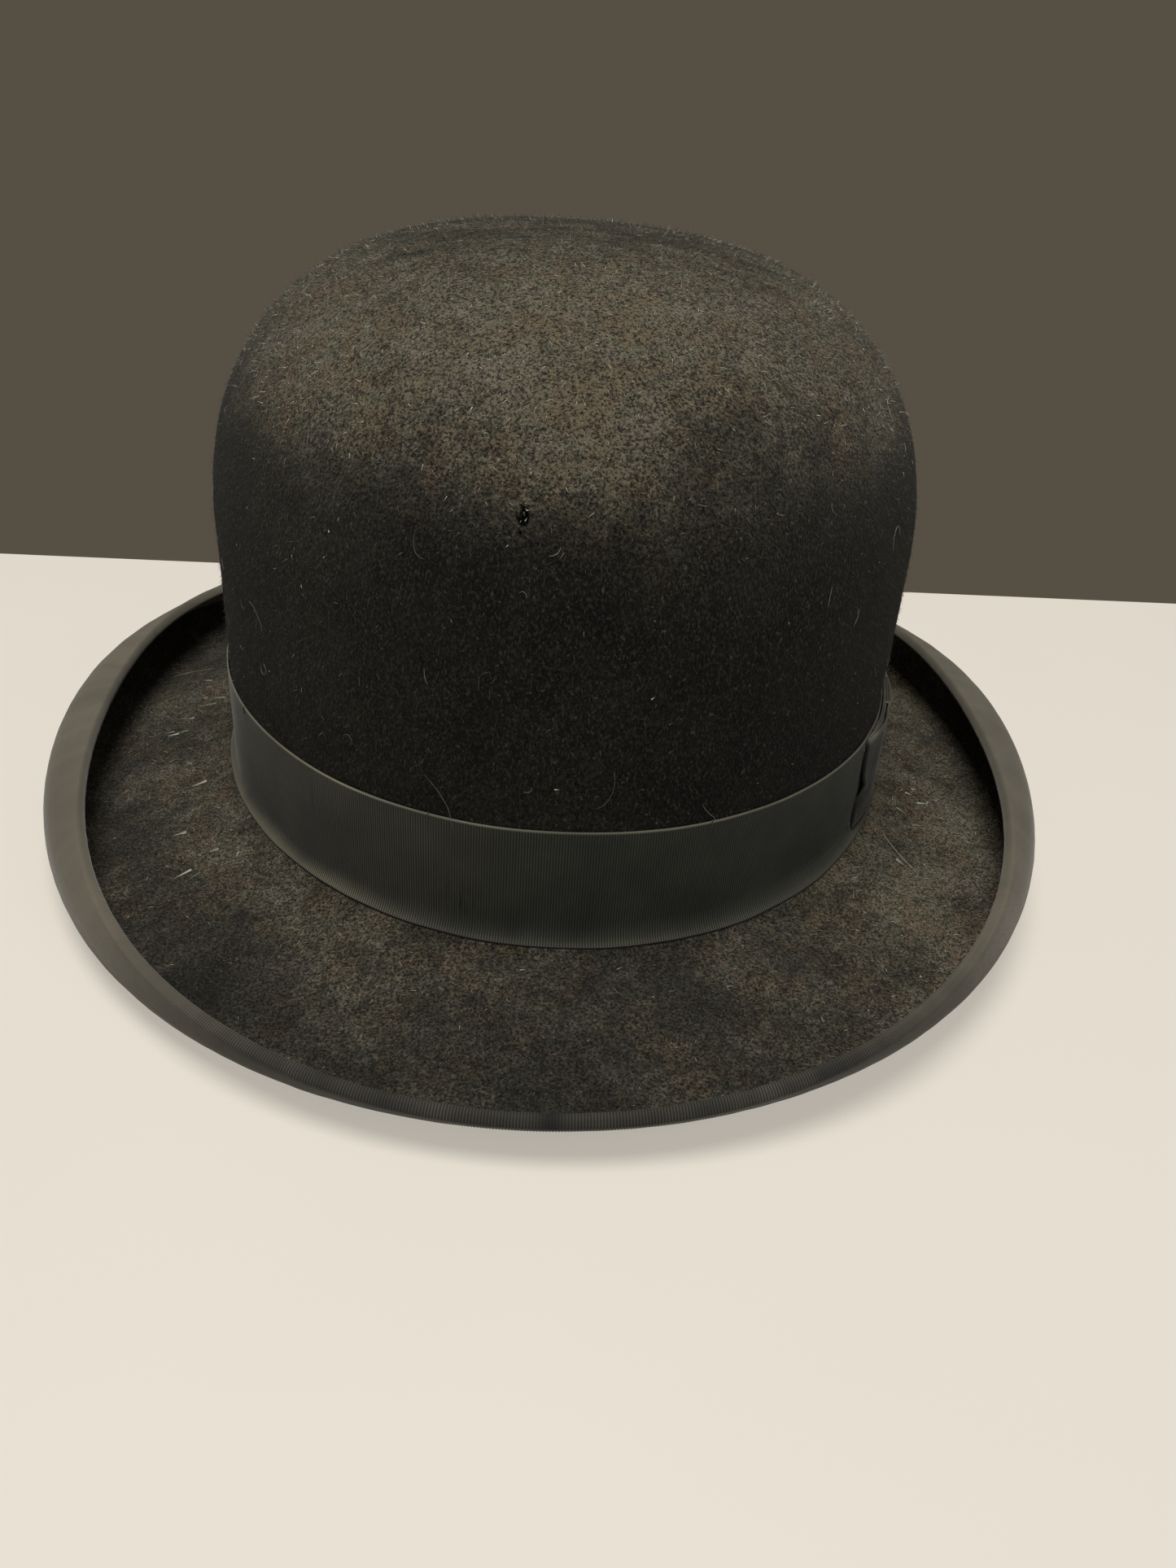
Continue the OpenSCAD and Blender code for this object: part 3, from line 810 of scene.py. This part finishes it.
def lint_hairs():
    """Longer pale hairs and bits of fluff that cling to the felt."""
    count = 230
    point, normal, *_ = pick_on_felt(count, bare_felt())
    lines = []
    for k in range(count):
        heading = unit(np.cross(normal[k], rng.normal(size=3)))
        length = min(rng.gamma(1.3, 1.8) + 1, 10)
        lines.append(curly(point[k], normal[k], heading, length, rng.normal(0, 150)))
    tone = rng.uniform(0.08, 0.7, count) ** 1.6 * np.where(point[:, 2] < 70, 0.6, 1)
    forward, aside = np.array([0, -1.0, 0]), np.array([1.0, 0, 0])
    lines += [long_hair(place(62.5, 7.0, -2.0), forward - 0.12 * aside, 17, 42),
              long_hair(place(-111.0, 26.0, -2.0), -aside, 15, 18),
              long_hair(place(56.0, 0.0, 78.0), np.array([0, 0, 1.0]), 11, 230),
              long_hair(place(-21.0, 0.0, 37.0), aside - np.array([0, 0, 0.4]), 14, -55),
              long_hair(place(3.0, 0.0, 34.0), aside + np.array([0, 0, 0.4]), 10, 60)]
    tone = np.append(tone, [0.75, 0.5, 0.3, 0.12, 0.12])
    sides = 4
    threads("felt_body.lint", lines, 0.05, lint, sides, extra=True,
            values={"tone": np.repeat(tone, (HAIR_STEPS + 1) * sides)})


felt_flecks()
felt_nap()
dusty_nap()
lint_hairs()


# -------- ribbons

def rib_wave(k, per_rib):
    """Height of the ribs at station k, 0 in the valley and 1 on the crest."""
    return 0.5 - 0.5 * np.cos(2 * np.pi * k / per_rib)


DENSE = np.linspace(-180, 180, 4001)     # angles fine enough to measure along


def even_angles(count, u):
    """Angles that put stations evenly along the oval at offset u, and the oval's length."""
    length = distance_along(place(DENSE, u + 0 * DENSE, 0))
    return np.interp(np.linspace(0, length[-1], count, endpoint=False), length, DENSE), length[-1]


def brim_binding():
    """Grosgrain folded over the lip, with its ribs across the fold."""
    u = lip(DENSE)[:, 0]
    ribs = round(even_angles(8, u)[1] / RIB)
    p = even_angles(ribs * 2, u)[0]
    brim = Brim(p)
    here = place(p, brim.lip[:, 0], 0)
    crest = rib_wave(np.arange(len(p)) % 2, 2) * (0.8 + 0.2 * lumps(here, 3))
    upper = BINDING_UPPER + 0.35 * lumps.layers(here, 22, 3)
    clear = FELT / 2 + GAP
    rows, rib, edge = [], [], []

    def add(s, off, relief, at_edge=0.0):
        point, d = brim.from_lip(s + 0 * p)
        q = point + (off + math.copysign(relief, off) * crest)[:, None] * left(d)
        rows.append(place(p, *q.T))
        rib.append((1 - crest) * min(relief / 0.1, 1))
        edge.append(np.full(len(p), at_edge))

    bulge = clear + RIBBON - 0.05
    for t in np.linspace(1, 0, 8):
        relief = 0.10 if t < 0.97 else 0.03
        add(upper * t, bulge - (0.15 if t == 1 else 0), relief, bell(t, 1, 0.06))
    lift = 0.26 * crest
    # The fold's upper half is painted paler than its lower half: painted highlight on the side that faces the
    # light.
    for turn in (60, 30, 0, -30, -60):
        point, d = brim.from_lip(0.0 * p)
        q = (point + ((bulge + lift) * sin(turn))[:, None] * left(d)
             + ((GAP + RIBBON + lift) * cos(turn))[:, None] * along(d))
        rows.append(place(p, *q.T))
        rib.append(1 - crest)
        edge.append(np.full(len(p), 0.6 if turn > 0 else 0.2))
    for t in np.linspace(0, 1, 11):
        add(BINDING_UNDER * t, -bulge, 0.22 if t < 0.97 else 0.03)
    for t in np.linspace(1, 0, 4):
        add(BINDING_UNDER * t, -clear, 0)
    for t in (0, 1):
        add(upper * t, clear, 0)
    grid = np.stack(rows, 1)
    at = place(p, *brim.lip.T)[:, None, :] + 0 * grid
    blot = stains.layers(grid, 9, 3)
    joint = bell(p, -1.6, 1.1)[:, None] + 0 * grid[..., 0]
    joint[:, :3] += bell(p, -0.9, 0.3)[:, None]
    sides = smooth(np.abs(p), 18, 50)[:, None]
    right = smooth(p, 8, 30)[:, None]
    # Paler at the sides; the inner edge and the fold are paler still, edge wear together with painted
    # highlight on the fold's lit top, strongest on the wearer's left.
    fade_and_highlight = (0.01 + 0.40 * sides * (0.9 + 0.2 * stains.layers(at, 30, 3)) * (1 - 0.22 * right)
            + 0.30 * np.stack(edge, 1) * (0.25 + 0.6 * right) + 0.05 * blot)
    brown = smooth(blot, 0.45, 0.8) * bell(p[:, None], -105, 25)
    values = {
        "rib": np.stack(rib, 1) * (1 - 0.55 * sides),
        "fade_and_highlight": np.clip(fade_and_highlight, 0, 0.9),
        "stain_and_shade": np.clip(0.88 * joint + 0.5 * brown, 0, 0.9),
    }
    ring("brim_binding.ribbon", grid, binding_cloth, values)


def hat_band():
    """Wide grosgrain round the crown's foot, with upright ribs, a selvedge and a worn lower edge; its very
    foot and its back are painted near black as painted shade.
    """
    ribs = round(even_angles(8, 0.0)[1] / RIB)
    p, _ = even_angles(ribs * 4, 0.0)
    crest = rib_wave(np.arange(len(p)), 4)
    here = place(p, 0 * p, 0)
    top = BAND_TOP - 0.15 + 0.22 * lumps.layers(here, 30, 3)
    foot = BAND_FOOT + 0.1 + 0.18 * lumps.layers(here + 90, 18, 3)
    rows, rib, edge, under = [], [], [], []

    def add(z, off, relief, at_edge, dark):
        rows.append(place(p, wall_face(p, z) + GAP + off + relief * crest, z))
        rib.append((1 - crest) * min(relief / 0.12, 1))
        edge.append(np.full(len(p), at_edge))
        under.append(np.full(len(p), dark))

    beside_bow = 1 - smooth(22 - np.abs(p - BOW_PLACE), 0, 5)
    slack = 0.15 * (1 + lumps.layers(here + 40, 40, 2)) * beside_bow
    shares = (1, 0.994, 0.988, 0.98, 0.85, 0.7, 0.55, 0.4, 0.28, 0.2, 0.13, 0.08, 0.05, 0.03, 0.016, 0.009, 0)
    # The lowest rows get a near-black share: painted shadow in the gap where the band meets the brim.
    for t in shares:
        selvedge = 1.0 if t >= 0.988 else 0.0
        round_off = -0.15 if t in (0, 1) else 0.0
        relief = 0.02 if (selvedge or t < 0.012) else 0.12
        off = RIBBON - 0.06 + round_off + 0.06 * selvedge + slack * t
        add(foot + (top - foot) * t, off, relief, selvedge, 0.95 if t < 0.012 else 0.0)
    # The back face against the wall is painted near black too: painted shade.
    for t in (0, 0.06, 0.12, 0.2, 1):
        add(foot + (top - foot) * t, slack * t, 0, 0.0, 0.95)
    grid = np.stack(rows, 1)
    z = grid[..., 2]
    share = (z - BAND_FOOT) / (BAND_TOP - BAND_FOOT)
    sideways = smooth(-p, 8, 42)[:, None]
    patch = stains.layers(grid, 16, 4)
    worn_side = 0.05 + 0.72 * smooth(-p, 16, 44)[:, None] + 0.25 * smooth(p, 28, 60)[:, None]
    low_wear = smooth(0.20 + 0.14 * patch - share, 0, 0.2) * worn_side + 0.16 * bell(share, 0.02, 0.03)
    side_dust = ((0.15 + 0.17 * smooth(-p, 20, 75)) * smooth(-p, 2, 24))[:, None] * (0.7 + 0.6 * patch)
    selvedge_wear = np.stack(edge, 1) * (0.34 + 0.2 * sideways) * (1 + 0.6 * patch)
    streak = stains(np.stack([p[:, None] * 8 + 0 * z, z * 0.5, 0 * z], -1), 1.0)
    spot = bell(p[:, None], -15, 4.5) * bell(share, 0.3, 0.16) * smooth(streak, 0.0, 0.6)
    mark = (bell(p[:, None], -40.5, 0.35) * bell(share, 0.74, 0.12)
            + 1.2 * bell(p[:, None], -15.2, 0.14) * bell(share, 0.27, 0.1))
    values = {
        "rib": np.stack(rib, 1),
        "fade_and_highlight": np.clip(np.maximum(low_wear, side_dust) + selvedge_wear, 0, 1),
        "stain_and_shade": np.clip(0.75 * spot + 0.6 * mark + np.stack(under, 1), 0, 0.95),
    }
    ring("hat_band.ribbon", grid, grosgrain, values)


brim_binding()
hat_band()


# -------- side bow

bow_foot, bow_top = (corner[2] for corner in box_mm("bow_backing"))


def degrees_of(length):
    return math.degrees(length / HALF_L)


def bow_sheet(angles, offsets, low, high):
    """Ribbon that stands on edge: middle line at angles and offsets, ribs upright."""
    rows, thickness, relief = 14, RIBBON - 0.05, 0.08
    length = distance_along(place(angles, offsets, 0.0))
    count = int(length[-1] / (RIB / 4))
    at = np.linspace(0, length[-1], count)
    angles, offsets = np.interp(at, length, angles), np.interp(at, length, offsets)
    low = np.interp(at, length, np.broadcast_to(low, length.shape))
    high = np.interp(at, length, np.broadcast_to(high, length.shape))
    line = place(angles, offsets, 0.0)
    tangent = unit(np.gradient(line, axis=0))
    normal = np.stack([tangent[:, 1], -tangent[:, 0], 0 * at], -1)
    middle = line + np.stack([0 * at, 0 * at, (low + high) / 2], -1)
    across = np.stack([0 * at, 0 * at, (high - low) / 2], -1)
    crest = rib_wave(np.arange(count), 4)[:, None]
    grid = sheet(middle, across, normal, thickness, rows,
                 lambda k, w: relief * crest * (np.abs(w) < 0.93))
    grid[:, rows:] -= (normal * relief)[:, None] * crest[..., None]
    w = np.concatenate([np.linspace(-1, 1, rows), np.linspace(1, -1, rows)])
    rib = (1 - crest) * (np.abs(w) < 0.93)[None, :]
    blot = stains.layers(grid, 8, 3)
    fade_and_highlight = 0.5 * (np.abs(w) > 0.95)[None, :] + 0.22 * smooth(blot, -0.2, 0.8)
    return grid, {"rib": rib, "fade_and_highlight": np.clip(fade_and_highlight, 0, 1), "stain_and_shade": 0.6 * smooth(-blot, -0.3, 0.5)}


def loop(side):
    """One loop from the knot to its fold and back, pinched at mid height where it is creased."""
    knot = BOW_PLACE + side * 0.5
    half = degrees_of(BOW_LENGTH / 2)
    end = BOW_PLACE + side * degrees_of(BOW_LENGTH / 2 - 1.2)
    inner = BOW_INNER + RIBBON * 1.5 + GAP
    t = np.linspace(0, 1, 40)
    spread = 0.25 + 0.45 * np.sin(np.pi * t) ** 0.8
    go = np.stack([knot + (end - knot) * t, inner - 0.75 * smooth(t, 0.6, 1)], -1)
    fold = np.linspace(-90, 90, 13)[1:-1]
    radius = spread[-1] / 2 + 0.12
    turn = np.stack([end + side * degrees_of(radius) * cos(fold),
                     go[-1, 1] + radius + radius * sin(fold)], -1)
    back = np.stack([go[::-1, 0], go[::-1, 1] + 2 * radius + (spread[::-1] - spread[-1]) * 0.9], -1)
    path = np.concatenate([go, turn, back])
    away = smooth(np.abs(path[:, 0] - BOW_PLACE) / half, 0.1, 1)
    return bow_sheet(path[:, 0], path[:, 1], bow_foot + 0.9 - 0.9 * away, bow_top - 1.2 + 1.2 * away)


def crease(grid, side):
    """Pinches a loop's end: the fold draws back and opens at mid height."""
    mid = (bow_foot + bow_top) / 2 - 1.5
    p = np.degrees(np.arctan2(grid[..., 0] / HALF_W, -grid[..., 1] / HALF_L))
    near_end = smooth(side * (p - BOW_PLACE), degrees_of(BOW_LENGTH / 2 - 9), degrees_of(BOW_LENGTH / 2))
    notch = bell(grid[..., 2], mid, 2.6) * near_end
    outward, onward = level_ways(p)
    ripple = 0.35 * lumps.layers(grid, 9, 2) * near_end
    return grid - side * onward * (2.4 * notch)[..., None] + outward * (0.5 * notch + ripple)[..., None]


def knot_wrap():
    """Ribbon wound once round the bow's middle, with its ribs lying flat."""
    half = KNOT_WIDTH / 2
    u_in, u_out = BOW_INNER, BOW_INNER + RIBBON * 4 + LOOP_FOLD
    low, high = bow_foot + 0.1, bow_top - 0.4
    r = 1.0
    corners = [(u_in, low), (u_out, low), (u_out, high), (u_in, high)]
    path = []
    for k, (u, z) in enumerate(corners):
        start = -180 + 90 * k
        inner = np.array([u + (r if k in (0, 3) else -r), z + (r if k in (0, 1) else -r)])
        for a in np.linspace(start, start + 90, 7):
            path.append(inner + r * np.array([cos(a), sin(a)]))
    path = np.array(path + path[:1])
    length = distance_along(path)
    count = int(length[-1] / RIB) * 4
    at = np.linspace(0, length[-1], count, endpoint=False)
    u, z = np.interp(at, length, path[:, 0]), np.interp(at, length, path[:, 1])
    d = unit(np.stack([np.roll(u, -1) - np.roll(u, 1), np.roll(z, -1) - np.roll(z, 1)], -1))
    crest = rib_wave(np.arange(count), 4)
    w = np.linspace(-1, 1, 13)
    rows = []
    for sign, order in ((1, w), (-1, w[::-1])):
        for x in order:
            pleat = 0.22 * math.sin(x * 8.0) + 0.35 * x * x * (1 if sign > 0 else 0)
            off = sign * (RIBBON - 0.15) / 2 + (0.08 * crest * (abs(x) < 0.92) if sign > 0 else 0)
            off = off - 0.4 * x * x + 0.15 * pleat
            uu, zz = u + off * d[:, 1], z - off * d[:, 0]
            rows.append(place(BOW_PLACE + degrees_of(half) * x + 0 * uu, uu, zz))
    grid = np.stack(rows, 1)
    ww = np.concatenate([w, w[::-1]])
    values = {"rib": (1 - crest)[:, None] * (np.abs(ww) < 0.92)[None, :],
              "fade_and_highlight": 0.6 * (np.abs(ww) > 0.95)[None, :] + 0.15 + 0 * grid[..., 0],
              "stain_and_shade": 0.3 * smooth(stains.layers(grid, 7, 3), 0.3, 0.8)}
    ring("bow_knot.ribbon", grid, grosgrain, values)


def side_bow():
    for side, node in ((-1, "bow_front_loop"), (1, "bow_rear_loop")):
        grid, values = loop(side)
        strip(node + ".ribbon", [crease(grid, side)], grosgrain, [values])
    half = degrees_of(BOW_LENGTH / 2) * 0.86
    angles = np.linspace(BOW_PLACE - half, BOW_PLACE + half, 60)
    grid, values = bow_sheet(angles, 0 * angles + BOW_INNER + RIBBON / 2, bow_foot, bow_top)
    strip("bow_backing.ribbon", [grid], grosgrain, [values])
    knot_wrap()


side_bow()


# -------- sewing

UPWARD = np.array([0, 0, 1.0])


def stitch_line(p, u, z, across, length, dip):
    """A stitch that comes up, lies on the surface and goes down again."""
    t = np.linspace(-1, 1, 7)
    lift = dip * (1 - t ** 4) - dip * 0.6
    return place(p, u, z) + np.outer(t * length / 2, across) + np.outer(lift, level_ways(p)[0])


def band_tacks():
    lines = [stitch_line(p, GAP + RIBBON + 0.35, BAND_TOP - 0.6, UPWARD, 2.0, 0.3)
             for p in range(20, 341, 40)]
    threads("band_tacks.thread", lines, 0.16, thread)


def binding_stitches():
    p = (np.arange(RIM_STITCHES) + 0.5) * 360 / RIM_STITCHES
    brim = Brim(p)
    point, d = brim.from_lip(0 * p + BINDING_UPPER - 0.7)
    q = point + (FELT / 2 + GAP + RIBBON + 0.1) * left(d)
    tangent = unit(place(p + 0.5, *q.T) - place(p - 0.5, *q.T))
    n, up = out(p), left(d)
    normal = np.stack([n[:, 0] * up[:, 0], n[:, 1] * up[:, 0], up[:, 1]], -1)
    centre = place(p, *q.T)
    t = np.linspace(-1, 1, 7)
    lines = [centre[k] + np.outer(t * 0.9, tangent[k]) + np.outer(0.2 * (1 - t ** 4) - 0.1, normal[k])
             for k in range(RIM_STITCHES)]
    threads("binding_stitches.thread", lines, 0.11, thread)


def bow_tacks():
    half = degrees_of(BOW_LENGTH / 2)
    lines = []
    for side in (-1, 1):
        for z in (bow_foot + 2, bow_top - 2):
            p = BOW_PLACE + side * (half + degrees_of(1.6))
            lines.append(stitch_line(p, GAP + RIBBON + 0.3, z, level_ways(p)[1], 1.8, 0.3))
    threads("bow_tacks.thread", lines, 0.16, thread)


band_tacks()
binding_stitches()
bow_tacks()


# -------- inside

LINING_OUT = -FELT - GAP
SWEAT_OUT = LINING_OUT - SATIN - GAP


def sweat_lean(z):
    return 1.4 * np.clip(z / SWEAT_TOP, 0, 1) ** 2


def sweatband():
    """Leather with soft creases, a worn foot and a rolled top edge."""
    p = np.linspace(-180, 180, 540, endpoint=False)
    z = np.linspace(SWEAT_TOP - 0.3, SWEAT_FOOT + 0.3, 42)
    rows, worn = [], []

    def add(height, off):
        wave = 0.28 * lumps.layers(place(p, 0 * p, height), 15, 3) * smooth(height, 4, 14)
        u = SWEAT_OUT - off - sweat_lean(height) - 0.25 * (1 + wave) * (off > LEATHER / 2) - 0.1
        rows.append(place(p, u + 0 * p, height))
        dirt = 0.5 * smooth(stains.layers(place(p, 0 * p, height), 22, 3), -0.1, 0.8)
        worn.append(np.clip(dirt + 0.5 * smooth(8.0 - height, 0, 6), 0, 1) * np.ones(len(p)))

    add(SWEAT_TOP, LEATHER / 2)
    for height in z:
        add(height, LEATHER)
    add(SWEAT_FOOT, LEATHER / 2)
    for height in z[::-3]:
        add(height, 0.0)
    grid = np.stack(rows, 1)
    ring("sweatband.leather", grid, leather, {"worn": np.stack(worn, 1)})


def around_section(name, section, look):
    """A ring with the same small section all the way round."""
    p = np.linspace(-180, 180, 420, endpoint=False)
    ring(name, np.stack([place(p, u + 0 * p, z) for u, z in section], 1), look)


REED_RADIUS = 1.0
reed_centre = np.array([SWEAT_OUT - LEATHER / 2, SWEAT_FOOT - REED_RADIUS - 0.6])


def reed_and_tape():
    turns = np.arange(14) * 360 / 14
    circle = [reed_centre + REED_RADIUS * np.array([cos(a), sin(a)]) for a in turns]
    around_section("sweatband_reed.cord", circle, reed)
    tape, r, top = 0.35, REED_RADIUS + GAP, SWEAT_FOOT + 6
    wrap = np.linspace(20, -190, 16)
    outer = [reed_centre + (r + tape) * np.array([cos(a), sin(a)]) for a in wrap]
    inner = [reed_centre + r * np.array([cos(a), sin(a)]) for a in wrap[::-1]]
    flange = LINING_OUT - 0.02
    heights = np.linspace(top, reed_centre[1] + r * 0.9, 5)
    section = ([(flange, z) for z in heights] + outer + inner
               + [(flange - tape, z) for z in heights[::-1]])
    around_section("reed_tape.oilcloth", section, oilcloth)


def sweatband_seams():
    z = SWEAT_FOOT + 2
    u = SWEAT_OUT - LEATHER - 0.42 - sweat_lean(z)
    lines = [stitch_line(p, u, z, level_ways(p)[1], 3.0, -0.25)
             for p in np.arange(RIM_STITCHES) * 360 / RIM_STITCHES]
    threads("sweatband_stitches.thread", lines, 0.17, pale_thread)
    lines = []
    for k in range(6):
        z = 8 + 4 * k
        u = SWEAT_OUT - LEATHER - 0.5 - sweat_lean(z)
        for way in (-1, 1):
            slant = np.array([way * 0.7, 0, 0.7])
            lines.append(stitch_line(180, u, z, slant, 4.4, -0.22))
    threads("sweatband_seam_stitches.thread", lines, 0.17, pale_thread)


def sweatband_bow():
    """Small flat bow of black ribbon: two loops and a knot."""
    low, high = box_mm("sweatband_bow")
    centre = (low + high) / 2
    parts = []
    for side in (-1, 1):
        t = np.linspace(0, 1, 24)
        path = np.concatenate([
            np.stack([side * (0.4 + 8.2 * t), 0.25 + 0.15 * np.sin(np.pi * t)], -1),
            np.stack([side * (0.4 + 8.2 * t[::-1]), -0.30 - 0.25 * np.sin(np.pi * t[::-1])], -1)])
        width = 1.3 + 2.0 * np.abs(path[:, 0]) / 8.6
        middle = centre + np.stack([path[:, 0], path[:, 1], 0 * width], -1)
        normal = np.cross(unit(np.gradient(middle, axis=0)), UPWARD)
        across = np.stack([0 * width, 0 * width, width], -1)
        parts.append(sheet(middle, across, normal, 0.2, 9, lambda k, w: 0.05 * np.cos(w * 9) + 0 * k))
    x = np.linspace(-1.5, 1.5, 14)
    middle = centre + np.stack([x, -0.62 - 0.12 * np.cos(x), 0 * x], -1)
    normal = np.tile([0, -1.0, 0], (len(x), 1))
    across = np.tile([0, 0, 1.75], (len(x), 1))
    parts.append(sheet(middle, across, normal, 0.2, 9, lambda k, w: 0.06 * np.cos(k * 2.0) + 0 * w))
    plain = {"rib": 0.0, "fade_and_highlight": 0.0, "stain_and_shade": 0.0}
    strip("sweatband_bow.ribbon", parts, inner_ribbon, [plain] * len(parts))


def lining():
    """Satin wall with soft upright puckers, its oval tip and the piping between them."""
    p = np.linspace(-180, 180, 600, endpoint=False)
    outward = level_ways(p)[0]
    rows = []

    def pucker(share):
        return 0.28 * (1 + np.sin(np.radians(p) * 58 + 2.2 * lumps(place(p, 0 * p, 0), 30))) * share

    foot = SWEAT_FOOT + 8
    for z in np.linspace(foot, SHOULDER, 16)[:-1]:
        share = smooth(z, foot, SHOULDER + 10)
        rows.append(place(p, LINING_OUT - SATIN - pucker(share), z))
    for d in np.linspace(0, LINING_SEAM, 22):
        rows.append(dome(p, d, FELT + GAP + SATIN) - outward * pucker(0.9)[:, None])
    for d in np.linspace(LINING_SEAM, 0, 8):
        rows.append(dome(p, d, FELT + GAP))
    for z in np.linspace(SHOULDER, foot, 4)[1:]:
        rows.append(place(p, LINING_OUT + 0 * p, z))
    ring("lining_side.satin", np.stack(rows, 1), satin)
    inset = FELT + GAP + 0.3
    steps = np.linspace(88.5, LINING_SEAM + 1.2, 26)
    front = [dome(p, d, inset + SATIN) - np.stack(
        [0 * p, 0 * p, 0.5 + 0.5 * lumps.layers(dome(p, d, inset), 14, 3)], -1) for d in steps]
    back = [dome(p, d, inset) for d in steps[::-4]]
    grid = np.stack(front + back, 1)
    n, m = grid.shape[:2]
    faces = grid_faces(n, m, True, False)
    faces += end_fans(n, m)
    ends = np.stack([grid[:, 0].mean(0), dome(0.0, 90, inset)])
    make_mesh("lining_tip.satin", np.concatenate([grid.reshape(-1, 3), ends]), faces, satin)
    cord = 0.9
    centre = dome(p, LINING_SEAM, FELT + GAP + SATIN + GAP + cord + 0.2)
    twist = np.radians(p) * 90
    rows = []
    for a in np.arange(12) * 30:
        r = cord * (0.92 + 0.08 * np.sin(np.radians(a) * 2 + twist))
        rows.append(centre + (r * cos(a))[:, None] * outward + np.stack([0 * r, 0 * r, r * sin(a)], -1))
    ring("lining_piping.cord", np.stack(rows, 1), satin)


sweatband()
reed_and_tape()
sweatband_seams()
sweatband_bow()
lining()


# -------- stage, light and camera

def floor():
    """Plain pale table under the hat."""
    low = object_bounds()[0].z
    size = 2.4
    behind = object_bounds()[1].y + 0.01
    mesh = bpy.data.meshes.new("floor")
    corners = [(-size, -size), (size, -size), (size, behind), (-size, behind)]
    mesh.from_pydata([(x, y, low - 0.0004) for x, y in corners], [], [[0, 1, 2, 3]])
    net = Net("floor_paint")
    color = net.mix(net.noise(60, 2, 0.5), (0.31, 0.29, 0.258), (0.33, 0.308, 0.273))
    mesh.materials.append(net.finish(color, 0.6, Emission_Color=(0.70, 0.655, 0.58),
                                     Emission_Strength=0.62))
    see_from_below(net)
    add_object("floor", mesh)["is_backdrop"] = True


def mix_shaders(tree, share, first, second, output):
    """Sends a mix of two shaders to an output's socket."""
    mix = tree.nodes.new("ShaderNodeMixShader")
    for a, b in zip((share, first, second, mix.outputs[0]), (*mix.inputs, output)):
        tree.links.new(a, b)


def see_from_below(net):
    """Makes the back of the floor clear, so the hat's underside can be looked at."""
    paint = net.output.inputs[0].links[0].from_socket
    facing, clear = net.add("ShaderNodeNewGeometry"), net.add("ShaderNodeBsdfTransparent")
    mix_shaders(net.tree, facing.outputs["Backfacing"], paint, clear.outputs[0], net.output.inputs[0])


def area_light(name, place_at, target, size, power):
    """A round, slightly warm lamp, in metres and watts."""
    light = bpy.data.lights.new(name, "AREA")
    light.shape = "DISK"
    light.size = size
    light.energy = power
    light.color = (1, 0.97, 0.92)
    lamp = add_object(name, light)
    lamp.location = place_at
    lamp.rotation_mode = "QUATERNION"
    lamp.rotation_quaternion = (Vector(target) - Vector(place_at)).to_track_quat("-Z", "Y")
    return lamp


def world():
    """Soft light from all round, and a plain grey-brown background for the camera."""
    made = bpy.data.worlds.new("room")
    made.use_nodes = True
    tree = made.node_tree
    tree.nodes.clear()
    ray, ambient, seen, output = (tree.nodes.new("ShaderNode" + kind) for kind in (
        "LightPath", "Background", "Background", "OutputWorld"))
    ambient.inputs["Color"].default_value = (1.0, 0.96, 0.90, 1)
    ambient.inputs["Strength"].default_value = 0.14
    seen.inputs["Color"].default_value = (0.094, 0.078, 0.057, 1)
    mix_shaders(tree, ray.outputs["Is Camera Ray"], ambient.outputs[0], seen.outputs[0],
                output.inputs[0])
    bpy.context.scene.world = made


def camera():
    """Looks down at the hat's front from a little to the wearer's right, tilted as the hat stands."""
    azimuth, elevation, roll = -4.77, 29.94, 4.11
    distance = 345.2
    aim_side, aim_height = 10.8, -17.2
    sensor, lens = 36.0, 27.0514
    back = Vector((sin(azimuth) * cos(elevation), -cos(azimuth) * cos(elevation), sin(elevation)))
    aim = Vector((aim_side * cos(azimuth), aim_side * sin(azimuth), aim_height))
    right = (-back).cross(Vector((0, 0, 1))).normalized()
    up = right.cross(-back)
    right, up = (right * cos(roll) + up * sin(roll)), (up * cos(roll) - right * sin(roll))
    data = bpy.data.cameras.new("camera")
    data.sensor_width = sensor
    data.lens = lens
    data.clip_start, data.clip_end = 0.01, 20
    eye = add_object("camera", data)
    turn = Matrix((right, up, back)).transposed().to_4x4()
    eye.matrix_world = Matrix.Translation((aim + back * distance) * MM) @ turn
    bpy.context.scene.camera = eye


bpy.context.scene.view_settings.view_transform = "Standard"
floor()
world()
area_light("key", (-0.12, -0.22, 1.5), (0, 0, 0.03), size=0.8, power=22)
area_light("fill", (0.9, -1.1, 1.1), (0, 0, 0.03), size=1.0, power=3)
area_light("inside", (0, 0, 0.001), (0, 0, 0.1), size=0.1, power=0.07).visible_camera = False
camera()
